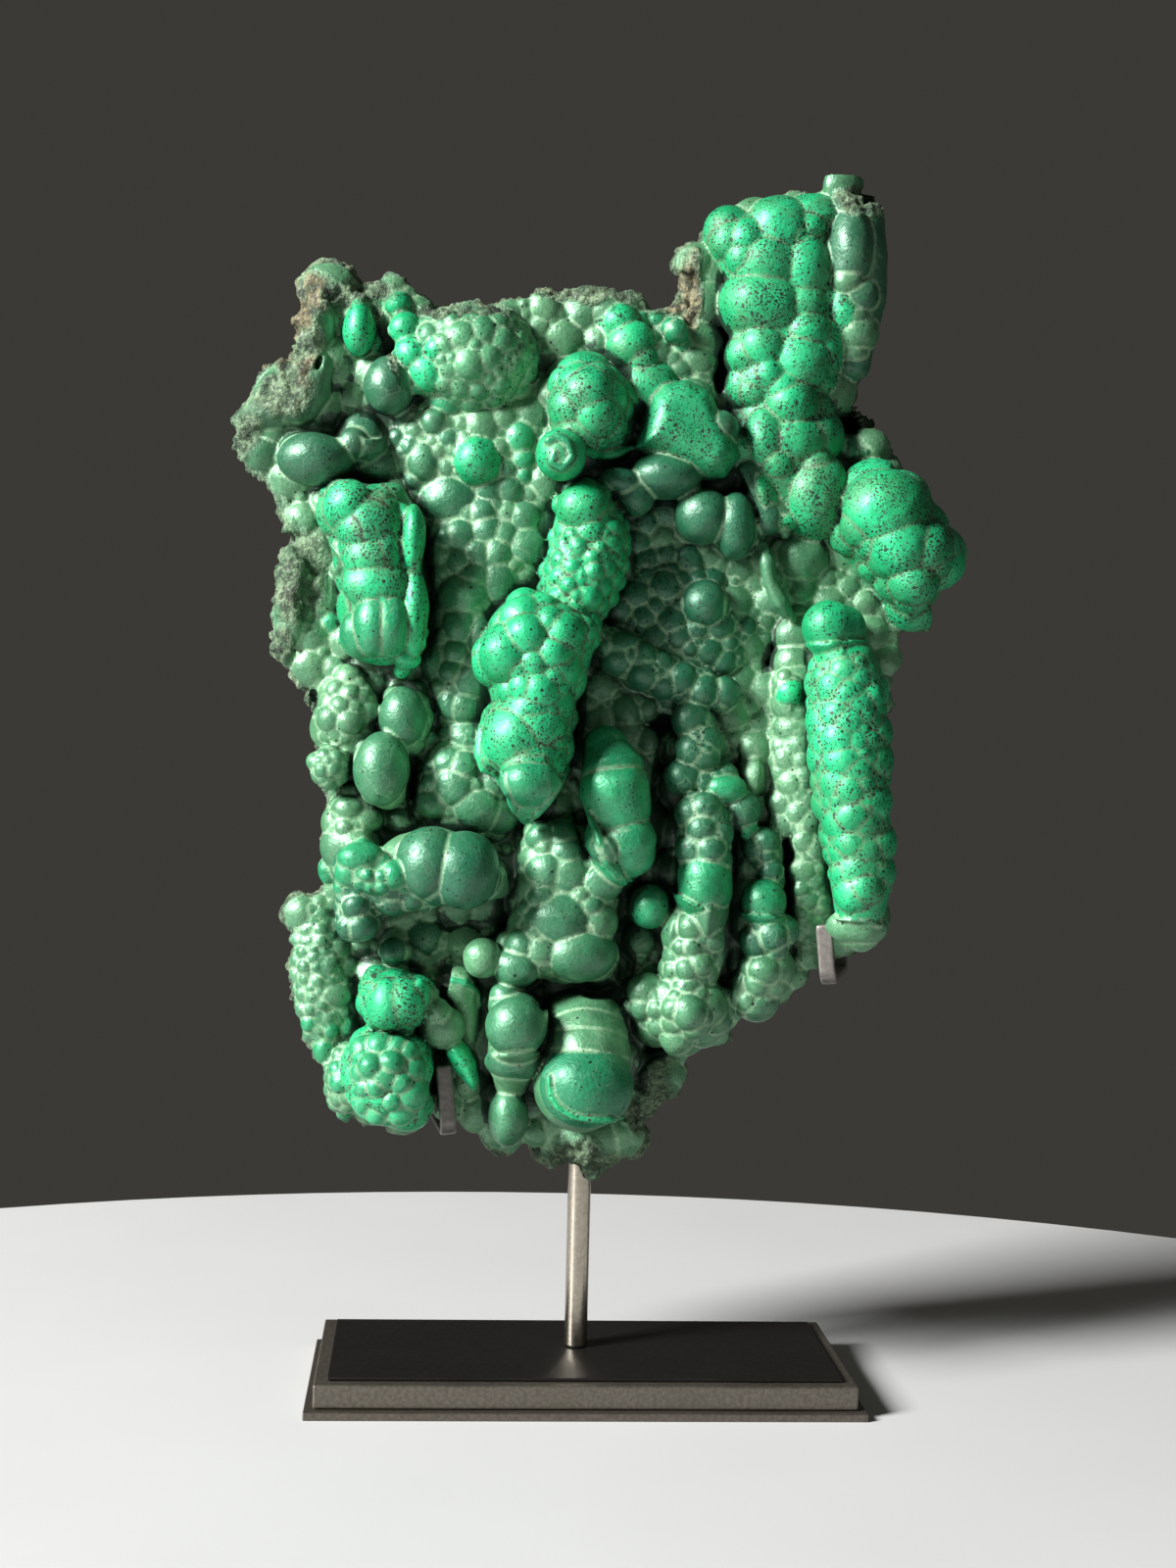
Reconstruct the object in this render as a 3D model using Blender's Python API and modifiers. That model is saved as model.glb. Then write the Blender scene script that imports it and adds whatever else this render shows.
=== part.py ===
"""A malachite specimen on its stand: one natural stone plate and six stand pieces.

Metres, +Z up, X to the right and +Y into the picture. The origin is the centre of the stand's underside.
The stone is laid out in photo pixels and placed through a fitted camera, each point at its own depth.
"""
import math

import bmesh
import bpy
from mathutils import Matrix, Vector

MM = 0.001

# Stand sizes in millimetres
BODY_WIDTH = 180.0
BODY_DEPTH = 80.0
FOOT_OVERHANG = 3.0
FOOT_HEIGHT = 3.0
BODY_HEIGHT = 7.8
TOP_INSET = 4.5
TOP_HEIGHT = 1.0
POST_RADIUS = 4.0
POST_X = -1.5
POST_Y = 3.0
POST_TOP = 206.0
STRAP_WIDTH = 5.6
STRAP_THICK = 2.8
GAP = 0.3

# Camera of the photo in millimetres and degrees, used only to place the stone's features
CAM = Vector((-54.3, -747.8, 225.8))
FOCAL_PX = 2219.0
YAW = math.radians(-3.99)
PITCH = math.radians(-1.37)
ROLL = math.radians(-1.41)
TURN = (Matrix.Rotation(YAW, 3, "Z") @ Matrix.Rotation(PITCH, 3, "X") @ Matrix.Rotation(ROLL, 3, "Y"))

# Stone build settings in millimetres
SLAB_FRONT = -9.0
SLAB_BACK = 19.0
VOXEL = 2.6
STONE_FACES = 8600

# Outline of the stone plate in photo pixels, clockwise from the top left
OUTLINE = [
    (318, 285), (345, 281), (385, 287), (425, 298), (452, 321), (480, 319), (520, 310), (548, 300),
    (600, 293), (655, 297), (672, 315), (689, 311), (695, 285), (700, 262), (722, 254), (725, 228),
    (745, 210), (800, 202), (845, 190), (865, 196), (903, 197), (900, 240), (905, 265), (893, 325),
    (873, 385), (870, 403), (896, 446), (914, 478), (925, 500), (930, 560), (925, 620), (917, 662),
    (905, 700), (900, 770), (897, 800), (903, 860), (905, 905), (893, 940), (868, 966), (830, 986),
    (790, 1024), (763, 1036), (734, 1063), (700, 1083), (688, 1107), (645, 1169), (613, 1201),
    (583, 1186), (534, 1160), (508, 1176), (484, 1151), (440, 1135), (417, 1151), (377, 1144),
    (347, 1134), (335, 1088), (312, 1068), (305, 1036), (296, 990), (302, 950), (293, 931),
    (330, 907), (328, 850), (333, 812), (330, 790), (333, 765), (320, 734), (306, 691), (280, 662),
    (285, 620), (291, 560), (297, 545), (297, 509), (273, 486), (245, 462), (236, 440), (255, 402),
    (290, 375), (300, 350), (298, 328), (316, 300),
]

# Rounded masses that raise the plate: pixel x, pixel y, depth y in mm, half width, half height in
# pixels, half depth in mm, turn in degrees
MASSES = [
    (480, 372, -10, 78, 62, 16, 0),
    (575, 440, -8, 90, 95, 15, 0),
    (480, 660, -6, 42, 130, 13, 5),
    (478, 800, -8, 62, 66, 14, 0),
    (330, 340, -6, 24, 56, 13, 8),
    (290, 418, -5, 46, 26, 13, -25),
    (300, 610, -4, 24, 62, 12, 0),
    (690, 640, -6, 90, 70, 9, 25),
    (356, 732, -8, 36, 50, 13, 0),
    (360, 855, -8, 30, 60, 11, 0),
    (332, 1000, -4, 36, 92, 11, -6),
    (352, 1100, -8, 26, 38, 12, 0),
    (858, 320, 0, 32, 110, 15, -8),
    (872, 462, 2, 26, 56, 14, -28),
    (878, 715, 2, 26, 110, 12, -6),
    (800, 460, -8, 60, 90, 14, 0),
    (696, 1026, -10, 56, 42, 17, 0),
    (600, 1148, -4, 50, 38, 12, 0),
    (690, 410, -8, 70, 80, 12, 0),
    (822, 800, -4, 34, 190, 12, -3),
    (415, 735, -10, 28, 40, 12, 0),
    (480, 1020, -2, 70, 120, 10, 0),
    (640, 900, -2, 70, 190, 8, 0),
    (690, 452, -20, 34, 26, 12, 10),
    (685, 485, -16, 33, 20, 10, 0),
    (685, 530, -10, 52, 36, 12, 0),
    (520, 655, -38, 36, 48, 13, -5),
    (398, 395, -8, 24, 24, 9, 0),
    (376, 462, -8, 26, 26, 10, 0),
    (306, 470, -8, 32, 24, 10, 25),
]

# Fingers, lobes and ridges, each a row of points: pixel x, pixel y, depth y in mm, radius in pixels
FINGERS = [
    # Long beaded finger in the middle
    [(596, 508, -26, 30), (600, 545, -34, 38), (595, 585, -38, 41), (583, 635, -40, 37),
     (563, 680, -39, 42), (537, 735, -42, 47), (537, 785, -41, 43), (538, 810, -37, 27)],
    # Speckled lobe on the left edge and its bright flap
    [(368, 522, -27, 44), (377, 575, -31, 46), (388, 645, -33, 42), (356, 655, -26, 24)],
    [(419, 530, -30, 10), (419, 560, -33, 15), (419, 620, -34, 12), (421, 680, -30, 9)],
    # Left thumb that points to the right, with the balls below its root
    [(385, 890, -34, 34), (440, 880, -34, 41), (478, 886, -34, 36), (494, 895, -33, 22)],
    [(362, 885, -28, 22), (365, 940, -33, 26)],
    [(433, 960, -24, 19), (403, 972, -14, 18)],
    # Lower left lobe with a cap and a raspberry of beads
    [(400, 1018, -34, 42), (398, 1045, -36, 38), (395, 1100, -36, 45), (412, 1126, -32, 30)],
    # Ear flap beside the left hook
    [(445, 1034, -24, 12), (452, 1056, -26, 14), (470, 1082, -28, 19), (478, 1100, -27, 13),
     (481, 1126, -22, 7)],
    [(468, 1003, -16, 19), (478, 1040, -12, 15), (480, 1080, -8, 14)],
    [(492, 978, -22, 21)],
    # Column of domes below the middle
    [(570, 868, -24, 37), (570, 900, -26, 41), (580, 940, -30, 35), (591, 978, -32, 36)],
    [(618, 890, -22, 22), (616, 945, -19, 14)],
    [(525, 940, -20, 22), (528, 990, -24, 26), (527, 1050, -28, 29), (524, 1090, -26, 22),
     (518, 1140, -15, 20)],
    # Large bulb at the bottom
    [(585, 1042, -20, 34), (592, 1075, -27, 45), (593, 1105, -30, 49), (602, 1112, -36, 40)],
    # Smooth banded finger
    [(620, 768, -22, 26), (625, 800, -26, 37), (632, 835, -26, 34), (641, 862, -26, 32),
     (636, 884, -22, 14)],
    [(662, 920, -12, 20)],
    # Stacked fingers right of the middle
    [(706, 742, -14, 20), (712, 768, -16, 21)],
    [(697, 793, -14, 15), (740, 800, -21, 19)],
    [(715, 835, -20, 24), (719, 890, -22, 28), (718, 914, -22, 26), (710, 950, -18, 27),
     (704, 990, -19, 27), (702, 1030, -24, 38), (690, 1062, -20, 24)],
    [(662, 1022, -13, 30)],
    [(770, 755, -6, 21), (766, 800, -9, 20), (761, 835, -14, 15)],
    [(782, 870, -13, 19), (779, 924, -18, 22), (783, 955, -16, 26), (780, 990, -15, 24),
     (770, 1015, -14, 24)],
    [(751, 972, -9, 11)],
    # Long right finger and the paler wall beside it
    [(850, 645, -32, 33), (862, 700, -34, 42), (860, 760, -36, 46), (862, 800, -36, 41),
     (868, 840, -36, 37), (878, 890, -36, 36), (880, 925, -34, 30), (878, 948, -27, 24)],
    [(903, 668, -26, 9), (905, 720, -24, 8), (905, 765, -22, 7)],
    [(805, 700, -16, 24), (812, 770, -12, 22), (822, 850, -11, 23), (832, 925, -10, 20)],
    # Fist on the right edge
    [(915, 517, -26, 37), (905, 560, -30, 36), (922, 603, -27, 32)],
    [(950, 552, -22, 36)],
    # Lobes of the upper right arm
    [(746, 234, -17, 25), (754, 266, -17, 19)],
    [(795, 234, -18, 31), (790, 266, -18, 24)],
    [(834, 252, -14, 32), (849, 290, -14, 21), (856, 330, -12, 15)],
    [(876, 222, -2, 24), (880, 265, -3, 24)],
    [(798, 330, -15, 42), (775, 375, -18, 36), (748, 400, -18, 18)],
    [(820, 370, -16, 38), (846, 398, -14, 22), (862, 440, -10, 20), (868, 480, -6, 14)],
    [(798, 430, -18, 42), (822, 485, -18, 40)],
    [(774, 445, -22, 18), (774, 490, -23, 26), (784, 540, -24, 26)],
    [(784, 575, -21, 12), (797, 612, -19, 14), (791, 650, -16, 10)],
    [(813, 580, -14, 25)],
    # Balls and domes of the upper plate
    [(600, 412, -24, 44)],
    [(574, 464, -26, 25)],
    [(488, 471, -23, 22)],
    [(451, 509, -21, 24)],
    [(530, 455, -20, 18)],
    [(453, 414, -21, 16), (444, 440, -20, 13)],
    [(410, 312, -12, 13), (420, 345, -18, 15), (430, 388, -19, 21)],
    [(367, 335, -12, 23)],
    [(480, 352, -22, 34)],
    [(605, 325, -15, 16), (632, 345, -18, 13), (655, 388, -19, 12)],
    [(585, 340, -15, 12), (606, 370, -19, 15), (652, 398, -20, 12)],
    [(668, 322, -13, 14), (690, 337, -14, 13)],
    [(690, 420, -19, 31)],
    [(735, 440, -20, 22)],
    [(636, 486, -17, 19), (648, 508, -15, 18)],
    [(752, 540, -12, 34)],
    # Ledge and balls of the recessed middle
    [(620, 660, -15, 26), (655, 685, -14, 28), (700, 702, -14, 27), (733, 714, -12, 23)],
    [(650, 602, -12, 18)],
    [(720, 620, -12, 26)],
    # Left field below the lobe
    [(350, 745, -15, 30)],
    [(337, 783, -18, 25)],
    [(388, 778, -20, 26), (398, 808, -17, 24)],
    [(440, 818, -18, 20)],
    [(478, 778, -20, 30), (490, 826, -21, 30)],
    [(468, 608, -18, 22), (476, 700, -18, 22)],
    [(541, 562, -20, 18)],
    [(330, 1074, -14, 13)],
    [(260, 437, -8, 20)],
]

# Bulges on the hidden back, laid out like the masses
BACK_BULGES = [
    (420, 400, 15, 95, 80, 8, 0),
    (760, 400, 15, 80, 120, 9, 10),
    (380, 720, 15, 62, 150, 8, 0),
    (760, 760, 14, 100, 130, 8, -20),
    (620, 560, 14, 120, 90, 7, 0),
]

# Shallow scoops in the hidden back: pixel x, pixel y, depth y in mm, half width, half height in pixels,
# half depth in mm
BACK_SCOOPS = [
    (520, 470, 44, 110, 90, 28),
    (850, 560, 40, 80, 70, 24),
    (520, 760, 42, 90, 120, 26),
    (860, 240, 40, 70, 70, 24),
    (330, 1010, 38, 70, 100, 23),
]

# Pits in the stone: pixel x, pixel y, depth y in mm, radius in pixels, half depth in mm
PITS = [
    (380, 425, -22, 26, 14),
    (601, 338, -22, 11, 12),
    (310, 668, -12, 15, 10),
    (318, 716, -12, 10, 8),
    (655, 990, -16, 26, 13),
    (470, 940, -18, 30, 12),
]


def at(px, py, depth):
    """Point on the photo ray of a pixel at depth y, in millimetres."""
    ray = TURN @ Vector(((px - 600) / FOCAL_PX, 1.0, -(py - 800) / FOCAL_PX))
    return CAM + ray * ((depth - CAM.y) / ray.y)


def mm_per_px(point):
    """Millimetres that one pixel covers at a point."""
    return (TURN.transposed() @ (point - CAM)).y / FOCAL_PX


def collection(name):
    found = bpy.data.collections.new(name)
    bpy.context.scene.collection.children.link(found)
    return found


def material(name, color, rough, metal):
    made = bpy.data.materials.new(name)
    made.use_nodes = True
    shader = made.node_tree.nodes["Principled BSDF"]
    shader.inputs["Base Color"].default_value = (*color, 1.0)
    shader.inputs["Roughness"].default_value = rough
    shader.inputs["Metallic"].default_value = metal
    return made


def apply_modifiers(target):
    """Write an object's modifiers into its mesh."""
    graph = bpy.context.evaluated_depsgraph_get()
    fresh = bpy.data.meshes.new_from_object(target.evaluated_get(graph))
    target.modifiers.clear()
    target.data = fresh


def box(name, size, centre, edge, home):
    """A box of millimetre sizes with bevelled edges."""
    bpy.ops.mesh.primitive_cube_add(size=1.0)
    made = bpy.context.object
    made.name = name
    made.data.name = name
    made.data.transform(Matrix.Translation(Vector(centre) * MM)
                        @ Matrix.Diagonal((size[0] * MM, size[1] * MM, size[2] * MM, 1.0)))
    bevel = made.modifiers.new("bevel", "BEVEL")
    bevel.width = edge * MM
    bevel.segments = 2
    apply_modifiers(made)
    move_to(made, home)
    return made


def move_to(target, home):
    for old in list(target.users_collection):
        old.objects.unlink(target)
    home.objects.link(target)


def band(points, half):
    """Outline of a band of half width around an open row of 2D points."""
    left = []
    right = []
    for i, point in enumerate(points):
        before = points[max(i - 1, 0)]
        after = points[min(i + 1, len(points) - 1)]
        away = (Vector(after) - Vector(before)).normalized()
        side = Vector((-away.y, away.x))
        into = (Vector(point) - Vector(before)).normalized() if i > 0 else away
        grow = 1.0 / max(side.dot(Vector((-into.y, into.x))), 0.6)
        left.append(Vector(point) + side * half * grow)
        right.append(Vector(point) - side * half * grow)
    return left + right[::-1]


def flat_solid(name, outline, thick, place, edge):
    """Fill a 2D outline in millimetres, extrude it both ways and place it by a matrix."""
    curve = bpy.data.curves.new(name, "CURVE")
    curve.dimensions = "2D"
    curve.fill_mode = "BOTH"
    curve.extrude = thick * 0.5 * MM
    line = curve.splines.new("POLY")
    line.points.add(len(outline) - 1)
    for i, point in enumerate(outline):
        line.points[i].co = (point[0] * MM, point[1] * MM, 0.0, 1.0)
    line.use_cyclic_u = True
    temp = bpy.data.objects.new(name + "_curve", curve)
    bpy.context.scene.collection.objects.link(temp)
    graph = bpy.context.evaluated_depsgraph_get()
    mesh = bpy.data.meshes.new_from_object(temp.evaluated_get(graph))
    bpy.data.objects.remove(temp)
    work = bmesh.new()
    work.from_mesh(mesh)
    bmesh.ops.remove_doubles(work, verts=work.verts, dist=0.00002)
    bmesh.ops.recalc_face_normals(work, faces=work.faces)
    work.to_mesh(mesh)
    work.free()
    mesh.transform(place)
    made = bpy.data.objects.new(name, mesh)
    bpy.context.scene.collection.objects.link(made)
    if edge > 0.0:
        bevel = made.modifiers.new("bevel", "BEVEL")
        bevel.width = edge * MM
        bevel.segments = 2
        bevel.limit_method = "ANGLE"
        bevel.angle_limit = math.radians(50)
        apply_modifiers(made)
    return made


def boolean(target, tool, kind):
    cut = target.modifiers.new(kind.lower(), "BOOLEAN")
    cut.operation = kind
    cut.solver = "EXACT"
    cut.object = tool
    apply_modifiers(target)


def hook_frame(front_px, rear_px, front_y, rear_y, lean):
    """Matrix whose x runs from the hook's front leg to its rear leg and whose y runs up."""
    front = at(front_px[0], front_px[1], front_y)
    rear = at(rear_px[0], rear_px[1], rear_y)
    flat = Vector((rear.x - front.x, rear.y - front.y, 0.0))
    run = flat.length
    x_axis = flat.normalized()
    z_axis = Vector((x_axis.y, -x_axis.x, 0.0))
    y_axis = (Matrix.Rotation(math.radians(lean), 3, x_axis) @ Vector((0, 0, 1)))
    z_axis = x_axis.cross(y_axis)
    turn = Matrix((x_axis, y_axis, z_axis)).transposed().to_4x4()
    spot = Vector((front.x, front.y, 0.0))
    return turn, spot, run


def hook(name, front_px, rear_px, top_px, low_px, front_y, rear_y, lean, arm_z, grow):
    """A strap bent to a hook under the stone's edge, with an arm along the back to the post."""
    turn, spot, run = hook_frame(front_px, rear_px, front_y, rear_y, lean)
    low = at(low_px[0], low_px[1], front_y + 6.0).z
    top = at(top_px[0], top_px[1], front_y).z
    half = STRAP_THICK * 0.5 + grow
    bend = 5.0
    path = [(0.0, top - low + grow), (0.0, bend + 6.0), (0.0, bend)]
    path += [(bend - bend * math.cos(math.radians(a)), bend - bend * math.sin(math.radians(a)) + half - grow)
             for a in (22.5, 45, 67.5)]
    path += [(bend, half - grow), (run - bend, half - grow)]
    path += [(run - bend + bend * math.sin(math.radians(a)), bend - bend * math.cos(math.radians(a)) + half - grow)
             for a in (22.5, 45, 67.5)]
    path += [(run, bend), (run, arm_z - low + STRAP_WIDTH * 0.5 + grow)]
    place = Matrix.Translation((spot + Vector((0, 0, low))) * MM) @ turn
    strap = flat_solid(name, band(path, half), STRAP_WIDTH + 2 * grow, place, 0.5 if grow == 0 else 0.0)
    rear = at(rear_px[0], rear_px[1], rear_y)
    side = 1.0 if rear.x > 0 else -1.0
    lift = (turn @ Vector((run, arm_z - low, 0.0))) + spot
    arm = [(lift.x + side * (1.2 + grow), rear.y), (POST_X + side * 24.0, rear.y),
           (POST_X + side * (POST_RADIUS + 1.0), POST_Y + 3.5), (POST_X + side * 1.0, POST_Y + 0.5)]
    bar = flat_solid(name + "_arm", band(arm, half), STRAP_WIDTH + 2 * grow,
                     Matrix.Translation((0, 0, arm_z * MM)), 0.5 if grow == 0 else 0.0)
    boolean(strap, bar, "UNION")
    bpy.data.objects.remove(bar)
    return strap


def add_ball(work, centre, radii, turn):
    place = Matrix.Translation(centre * MM) @ turn @ Matrix.Diagonal(
        (radii[0] * MM, radii[1] * MM, radii[2] * MM, 1.0))
    bmesh.ops.create_icosphere(work, subdivisions=2, radius=1.0, matrix=place)


def build_stone():
    """Plate, masses and fingers as overlapping closed forms, fused by a voxel remesh."""
    mid = (SLAB_FRONT + SLAB_BACK) * 0.5
    outline = [at(px, py, -4.0) for px, py in OUTLINE]
    outline = [(point.x, point.z) for point in outline]
    place = Matrix.Translation((0, mid * MM, 0)) @ Matrix.Rotation(math.radians(90), 4, "X")
    plate = flat_solid("malachite", outline, SLAB_BACK - SLAB_FRONT, place, 0.0)
    work = bmesh.new()
    work.from_mesh(plate.data)
    for px, py, depth, half_x, half_z, half_y, turn in MASSES + BACK_BULGES:
        centre = at(px, py, depth)
        scale = mm_per_px(centre)
        spin = Matrix.Rotation(math.radians(turn), 4, "Y")
        add_ball(work, centre, (half_x * scale, half_y, half_z * scale), spin)
    for row in FINGERS:
        for i, (px, py, depth, radius) in enumerate(row):
            if i == 0:
                add_ball(work, at(px, py, depth), [radius * mm_per_px(at(px, py, depth))] * 3, Matrix())
                continue
            before = row[i - 1]
            steps = max(2, math.ceil(math.dist((px, py), before[:2]) / (0.35 * min(radius, before[3]))))
            for step in range(1, steps + 1):
                t = step / steps
                mixed = [before[k] + (row[i][k] - before[k]) * t for k in range(4)]
                centre = at(mixed[0], mixed[1], mixed[2])
                add_ball(work, centre, [mixed[3] * mm_per_px(centre)] * 3, Matrix())
    # Roots that join each finger to the plate behind it
    for row in FINGERS:
        for px, py, depth, radius in row:
            for back in range(int(depth) + 5, -4, 5):
                centre = at(px, py, back)
                add_ball(work, centre, [0.8 * radius * mm_per_px(centre)] * 3, Matrix())
    work.to_mesh(plate.data)
    work.free()
    remesh = plate.modifiers.new("fuse", "REMESH")
    remesh.mode = "VOXEL"
    remesh.voxel_size = VOXEL * MM
    apply_modifiers(plate)
    smooth = plate.modifiers.new("soften", "SMOOTH")
    smooth.factor = 0.5
    smooth.iterations = 1
    apply_modifiers(plate)
    carve_back(plate)
    remesh = plate.modifiers.new("fuse", "REMESH")
    remesh.mode = "VOXEL"
    remesh.voxel_size = VOXEL * MM
    apply_modifiers(plate)
    faces = sum(len(face.vertices) - 2 for face in plate.data.polygons)
    thin = plate.modifiers.new("thin", "DECIMATE")
    thin.ratio = STONE_FACES / faces
    thin.use_collapse_triangulate = True
    apply_modifiers(plate)
    keep_largest(plate)
    return plate


def carve_back(plate):
    """Cut the hollow in the stone's back and the pits in its front."""
    work = bmesh.new()
    for height in range(52, 214, 8):
        add_ball(work, Vector((POST_X, 22.0, height)), (25.0, 24.0, 14.0), Matrix())
    scoops = [(px, py, depth, radius, radius, half_y) for px, py, depth, radius, half_y in PITS]
    for px, py, depth, half_x, half_z, half_y in scoops + BACK_SCOOPS:
        centre = at(px, py, depth)
        scale = mm_per_px(centre)
        add_ball(work, centre, (half_x * scale, half_y, half_z * scale), Matrix())
    mesh = bpy.data.meshes.new("carver")
    work.to_mesh(mesh)
    work.free()
    carver = bpy.data.objects.new("carver", mesh)
    bpy.context.scene.collection.objects.link(carver)
    fuse = carver.modifiers.new("fuse", "REMESH")
    fuse.mode = "VOXEL"
    fuse.voxel_size = 2.0 * MM
    apply_modifiers(carver)
    boolean(plate, carver, "DIFFERENCE")
    bpy.data.objects.remove(carver)


def keep_largest(target):
    """Delete every loose bit but the largest."""
    work = bmesh.new()
    work.from_mesh(target.data)
    work.verts.ensure_lookup_table()
    seen = set()
    groups = []
    for vert in work.verts:
        if vert.index in seen:
            continue
        seen.add(vert.index)
        group = [vert]
        stack = [vert]
        while stack:
            here = stack.pop()
            for edge in here.link_edges:
                other = edge.other_vert(here)
                if other.index not in seen:
                    seen.add(other.index)
                    group.append(other)
                    stack.append(other)
        groups.append(group)
    groups.sort(key=len)
    loose = [vert for group in groups[:-1] for vert in group]
    bmesh.ops.delete(work, geom=loose, context="VERTS")
    work.to_mesh(target.data)
    work.free()


def finish(target, name, home, mat):
    target.name = name
    target.data.name = name
    move_to(target, home)
    target.data.materials.clear()
    target.data.materials.append(mat)


for leftover in list(bpy.data.objects):
    bpy.data.objects.remove(leftover)

home = collection("malachite_specimen")
cutters = collection("cutters")

base_z = FOOT_HEIGHT
foot = box("base_foot", (BODY_WIDTH + 2 * FOOT_OVERHANG, BODY_DEPTH + 2 * FOOT_OVERHANG, FOOT_HEIGHT - GAP),
           (0, 0, (FOOT_HEIGHT - GAP) * 0.5), 0.4, home)
body = box("base_body", (BODY_WIDTH, BODY_DEPTH, BODY_HEIGHT), (0, 0, base_z + BODY_HEIGHT * 0.5), 0.6, home)
top_z = base_z + BODY_HEIGHT + GAP
top = box("base_top", (BODY_WIDTH - 2 * TOP_INSET, BODY_DEPTH - 2 * TOP_INSET, TOP_HEIGHT),
          (0, 0, top_z + TOP_HEIGHT * 0.5), 0.25, home)

post_z = top_z + TOP_HEIGHT + GAP
bpy.ops.mesh.primitive_cylinder_add(vertices=40, radius=POST_RADIUS * MM, depth=(POST_TOP - post_z) * MM,
                                    location=(0, 0, 0))
post = bpy.context.object
post.data.transform(Matrix.Translation(Vector((POST_X, POST_Y, (POST_TOP + post_z) * 0.5)) * MM))
round_post = post.modifiers.new("bevel", "BEVEL")
round_post.width = 0.6 * MM
round_post.segments = 2
round_post.limit_method = "ANGLE"
apply_modifiers(post)

# Front leg, rear leg, tip and lowest point in pixels, then depths, lean and arm height in millimetres
LEFT = ((459, 1140), (446, 1143), (451, 1086), (455, 1157), -18.5, 23.0, -6.0, 118.0)
RIGHT = ((846, 985), (858, 985), (838, 943), (847, 1004), -21.5, 23.0, -6.0, 158.0)
left = hook("hook_left", *LEFT, 0.0)
right = hook("hook_right", *RIGHT, 0.0)

stone = build_stone()

# Fattened copies of the hooks and the post cut their seats in the stone
seats = [hook("seat_left", *LEFT, GAP), hook("seat_right", *RIGHT, GAP)]
bpy.ops.mesh.primitive_cylinder_add(vertices=40, radius=(POST_RADIUS + GAP) * MM,
                                    depth=(POST_TOP + GAP - 40.0) * MM, location=(0, 0, 0))
seat_post = bpy.context.object
seat_post.name = "seat_post"
seat_post.data.transform(Matrix.Translation(Vector((POST_X, POST_Y, (POST_TOP + GAP + 40.0) * 0.5)) * MM))
seats.append(seat_post)
for seat in seats:
    boolean(stone, seat, "DIFFERENCE")
    move_to(seat, cutters)
    seat.hide_render = True
    seat.display_type = "WIRE"
keep_largest(stone)

# A sleeve of clear space round the post cuts each arm's end to meet it
for arm in (left, right):
    boolean(arm, seat_post, "DIFFERENCE")
    keep_largest(arm)

finish(foot, "base_foot", home, material("base_foot", (0.16, 0.14, 0.12), 0.45, 0.7))
finish(body, "base_body", home, material("base_body", (0.20, 0.18, 0.16), 0.4, 0.75))
finish(top, "base_top", home, material("base_top", (0.035, 0.033, 0.032), 0.35, 0.6))
finish(post, "post", home, material("post", (0.36, 0.30, 0.24), 0.3, 1.0))
finish(left, "hook_left", home, material("hook_left", (0.12, 0.10, 0.09), 0.35, 0.9))
finish(right, "hook_right", home, material("hook_right", (0.18, 0.15, 0.13), 0.35, 0.9))
finish(stone, "malachite", home, material("malachite", (0.05, 0.32, 0.17), 0.35, 0.0))
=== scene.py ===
"""The malachite specimen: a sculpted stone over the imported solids, on its stand.

The stone is one distance field in millimetres. Its main forms are laid out in photo pixels and placed
through the fitted camera, each point at its own depth. Globules then cover every form, and the field is
meshed here.
"""

import math

import bpy
import numpy as np
from mathutils import Matrix, Vector


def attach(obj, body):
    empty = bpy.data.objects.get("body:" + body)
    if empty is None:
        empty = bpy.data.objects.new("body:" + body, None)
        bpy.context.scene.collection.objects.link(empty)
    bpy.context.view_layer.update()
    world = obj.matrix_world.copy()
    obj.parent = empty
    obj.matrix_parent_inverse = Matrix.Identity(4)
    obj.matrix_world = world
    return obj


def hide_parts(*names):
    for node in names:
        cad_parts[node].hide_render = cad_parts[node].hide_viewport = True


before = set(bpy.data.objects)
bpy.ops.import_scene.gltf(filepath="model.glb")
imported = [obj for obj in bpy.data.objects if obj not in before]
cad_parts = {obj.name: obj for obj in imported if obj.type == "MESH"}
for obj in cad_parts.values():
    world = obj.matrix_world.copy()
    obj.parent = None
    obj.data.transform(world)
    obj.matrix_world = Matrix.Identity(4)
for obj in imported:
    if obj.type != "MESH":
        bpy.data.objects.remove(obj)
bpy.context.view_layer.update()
MM = 0.001
rng = np.random.default_rng(7)

# Fitted camera in millimetres, photo pixels and degrees
CAM = np.array((-54.3, -747.8, 225.8))
FOCAL_PX = 2219.0
MID_X, MID_Y = 600, 800
SENSOR_MM = 36.0
YAW, PITCH, ROLL = (math.radians(v) for v in (-3.99, -1.37, -1.41))
TURN = np.array(
    (Matrix.Rotation(YAW, 3, "Z") @ Matrix.Rotation(PITCH, 3, "X") @ Matrix.Rotation(ROLL, 3, "Y")))

# Distance field grid in millimetres
STEP = 0.8
LOW = np.array((-131.0, -66.0, 66.0))
HIGH = np.array((133.0, 31.0, 417.0))
FAR = 12.0

# Armature that the stone must clear, in millimetres
POST_X, POST_Y, POST_R, POST_TOP = -1.5, 3.0, 4.0, 206.0
GAP = 0.35

# Hollow behind the stone for the post: heights of a row of ellipsoids, their depth and their half sizes
HOLLOW_Z = range(52, 214, 8)
HOLLOW_Y = 22.0
HOLLOW_HALF = (25.0, 24.0, 14.0)

# Millimetres that a pixel spans at the listed cells, and at the scattered cells
SET_SCALE, LOOSE_SCALE = 0.333, 0.335

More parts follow.
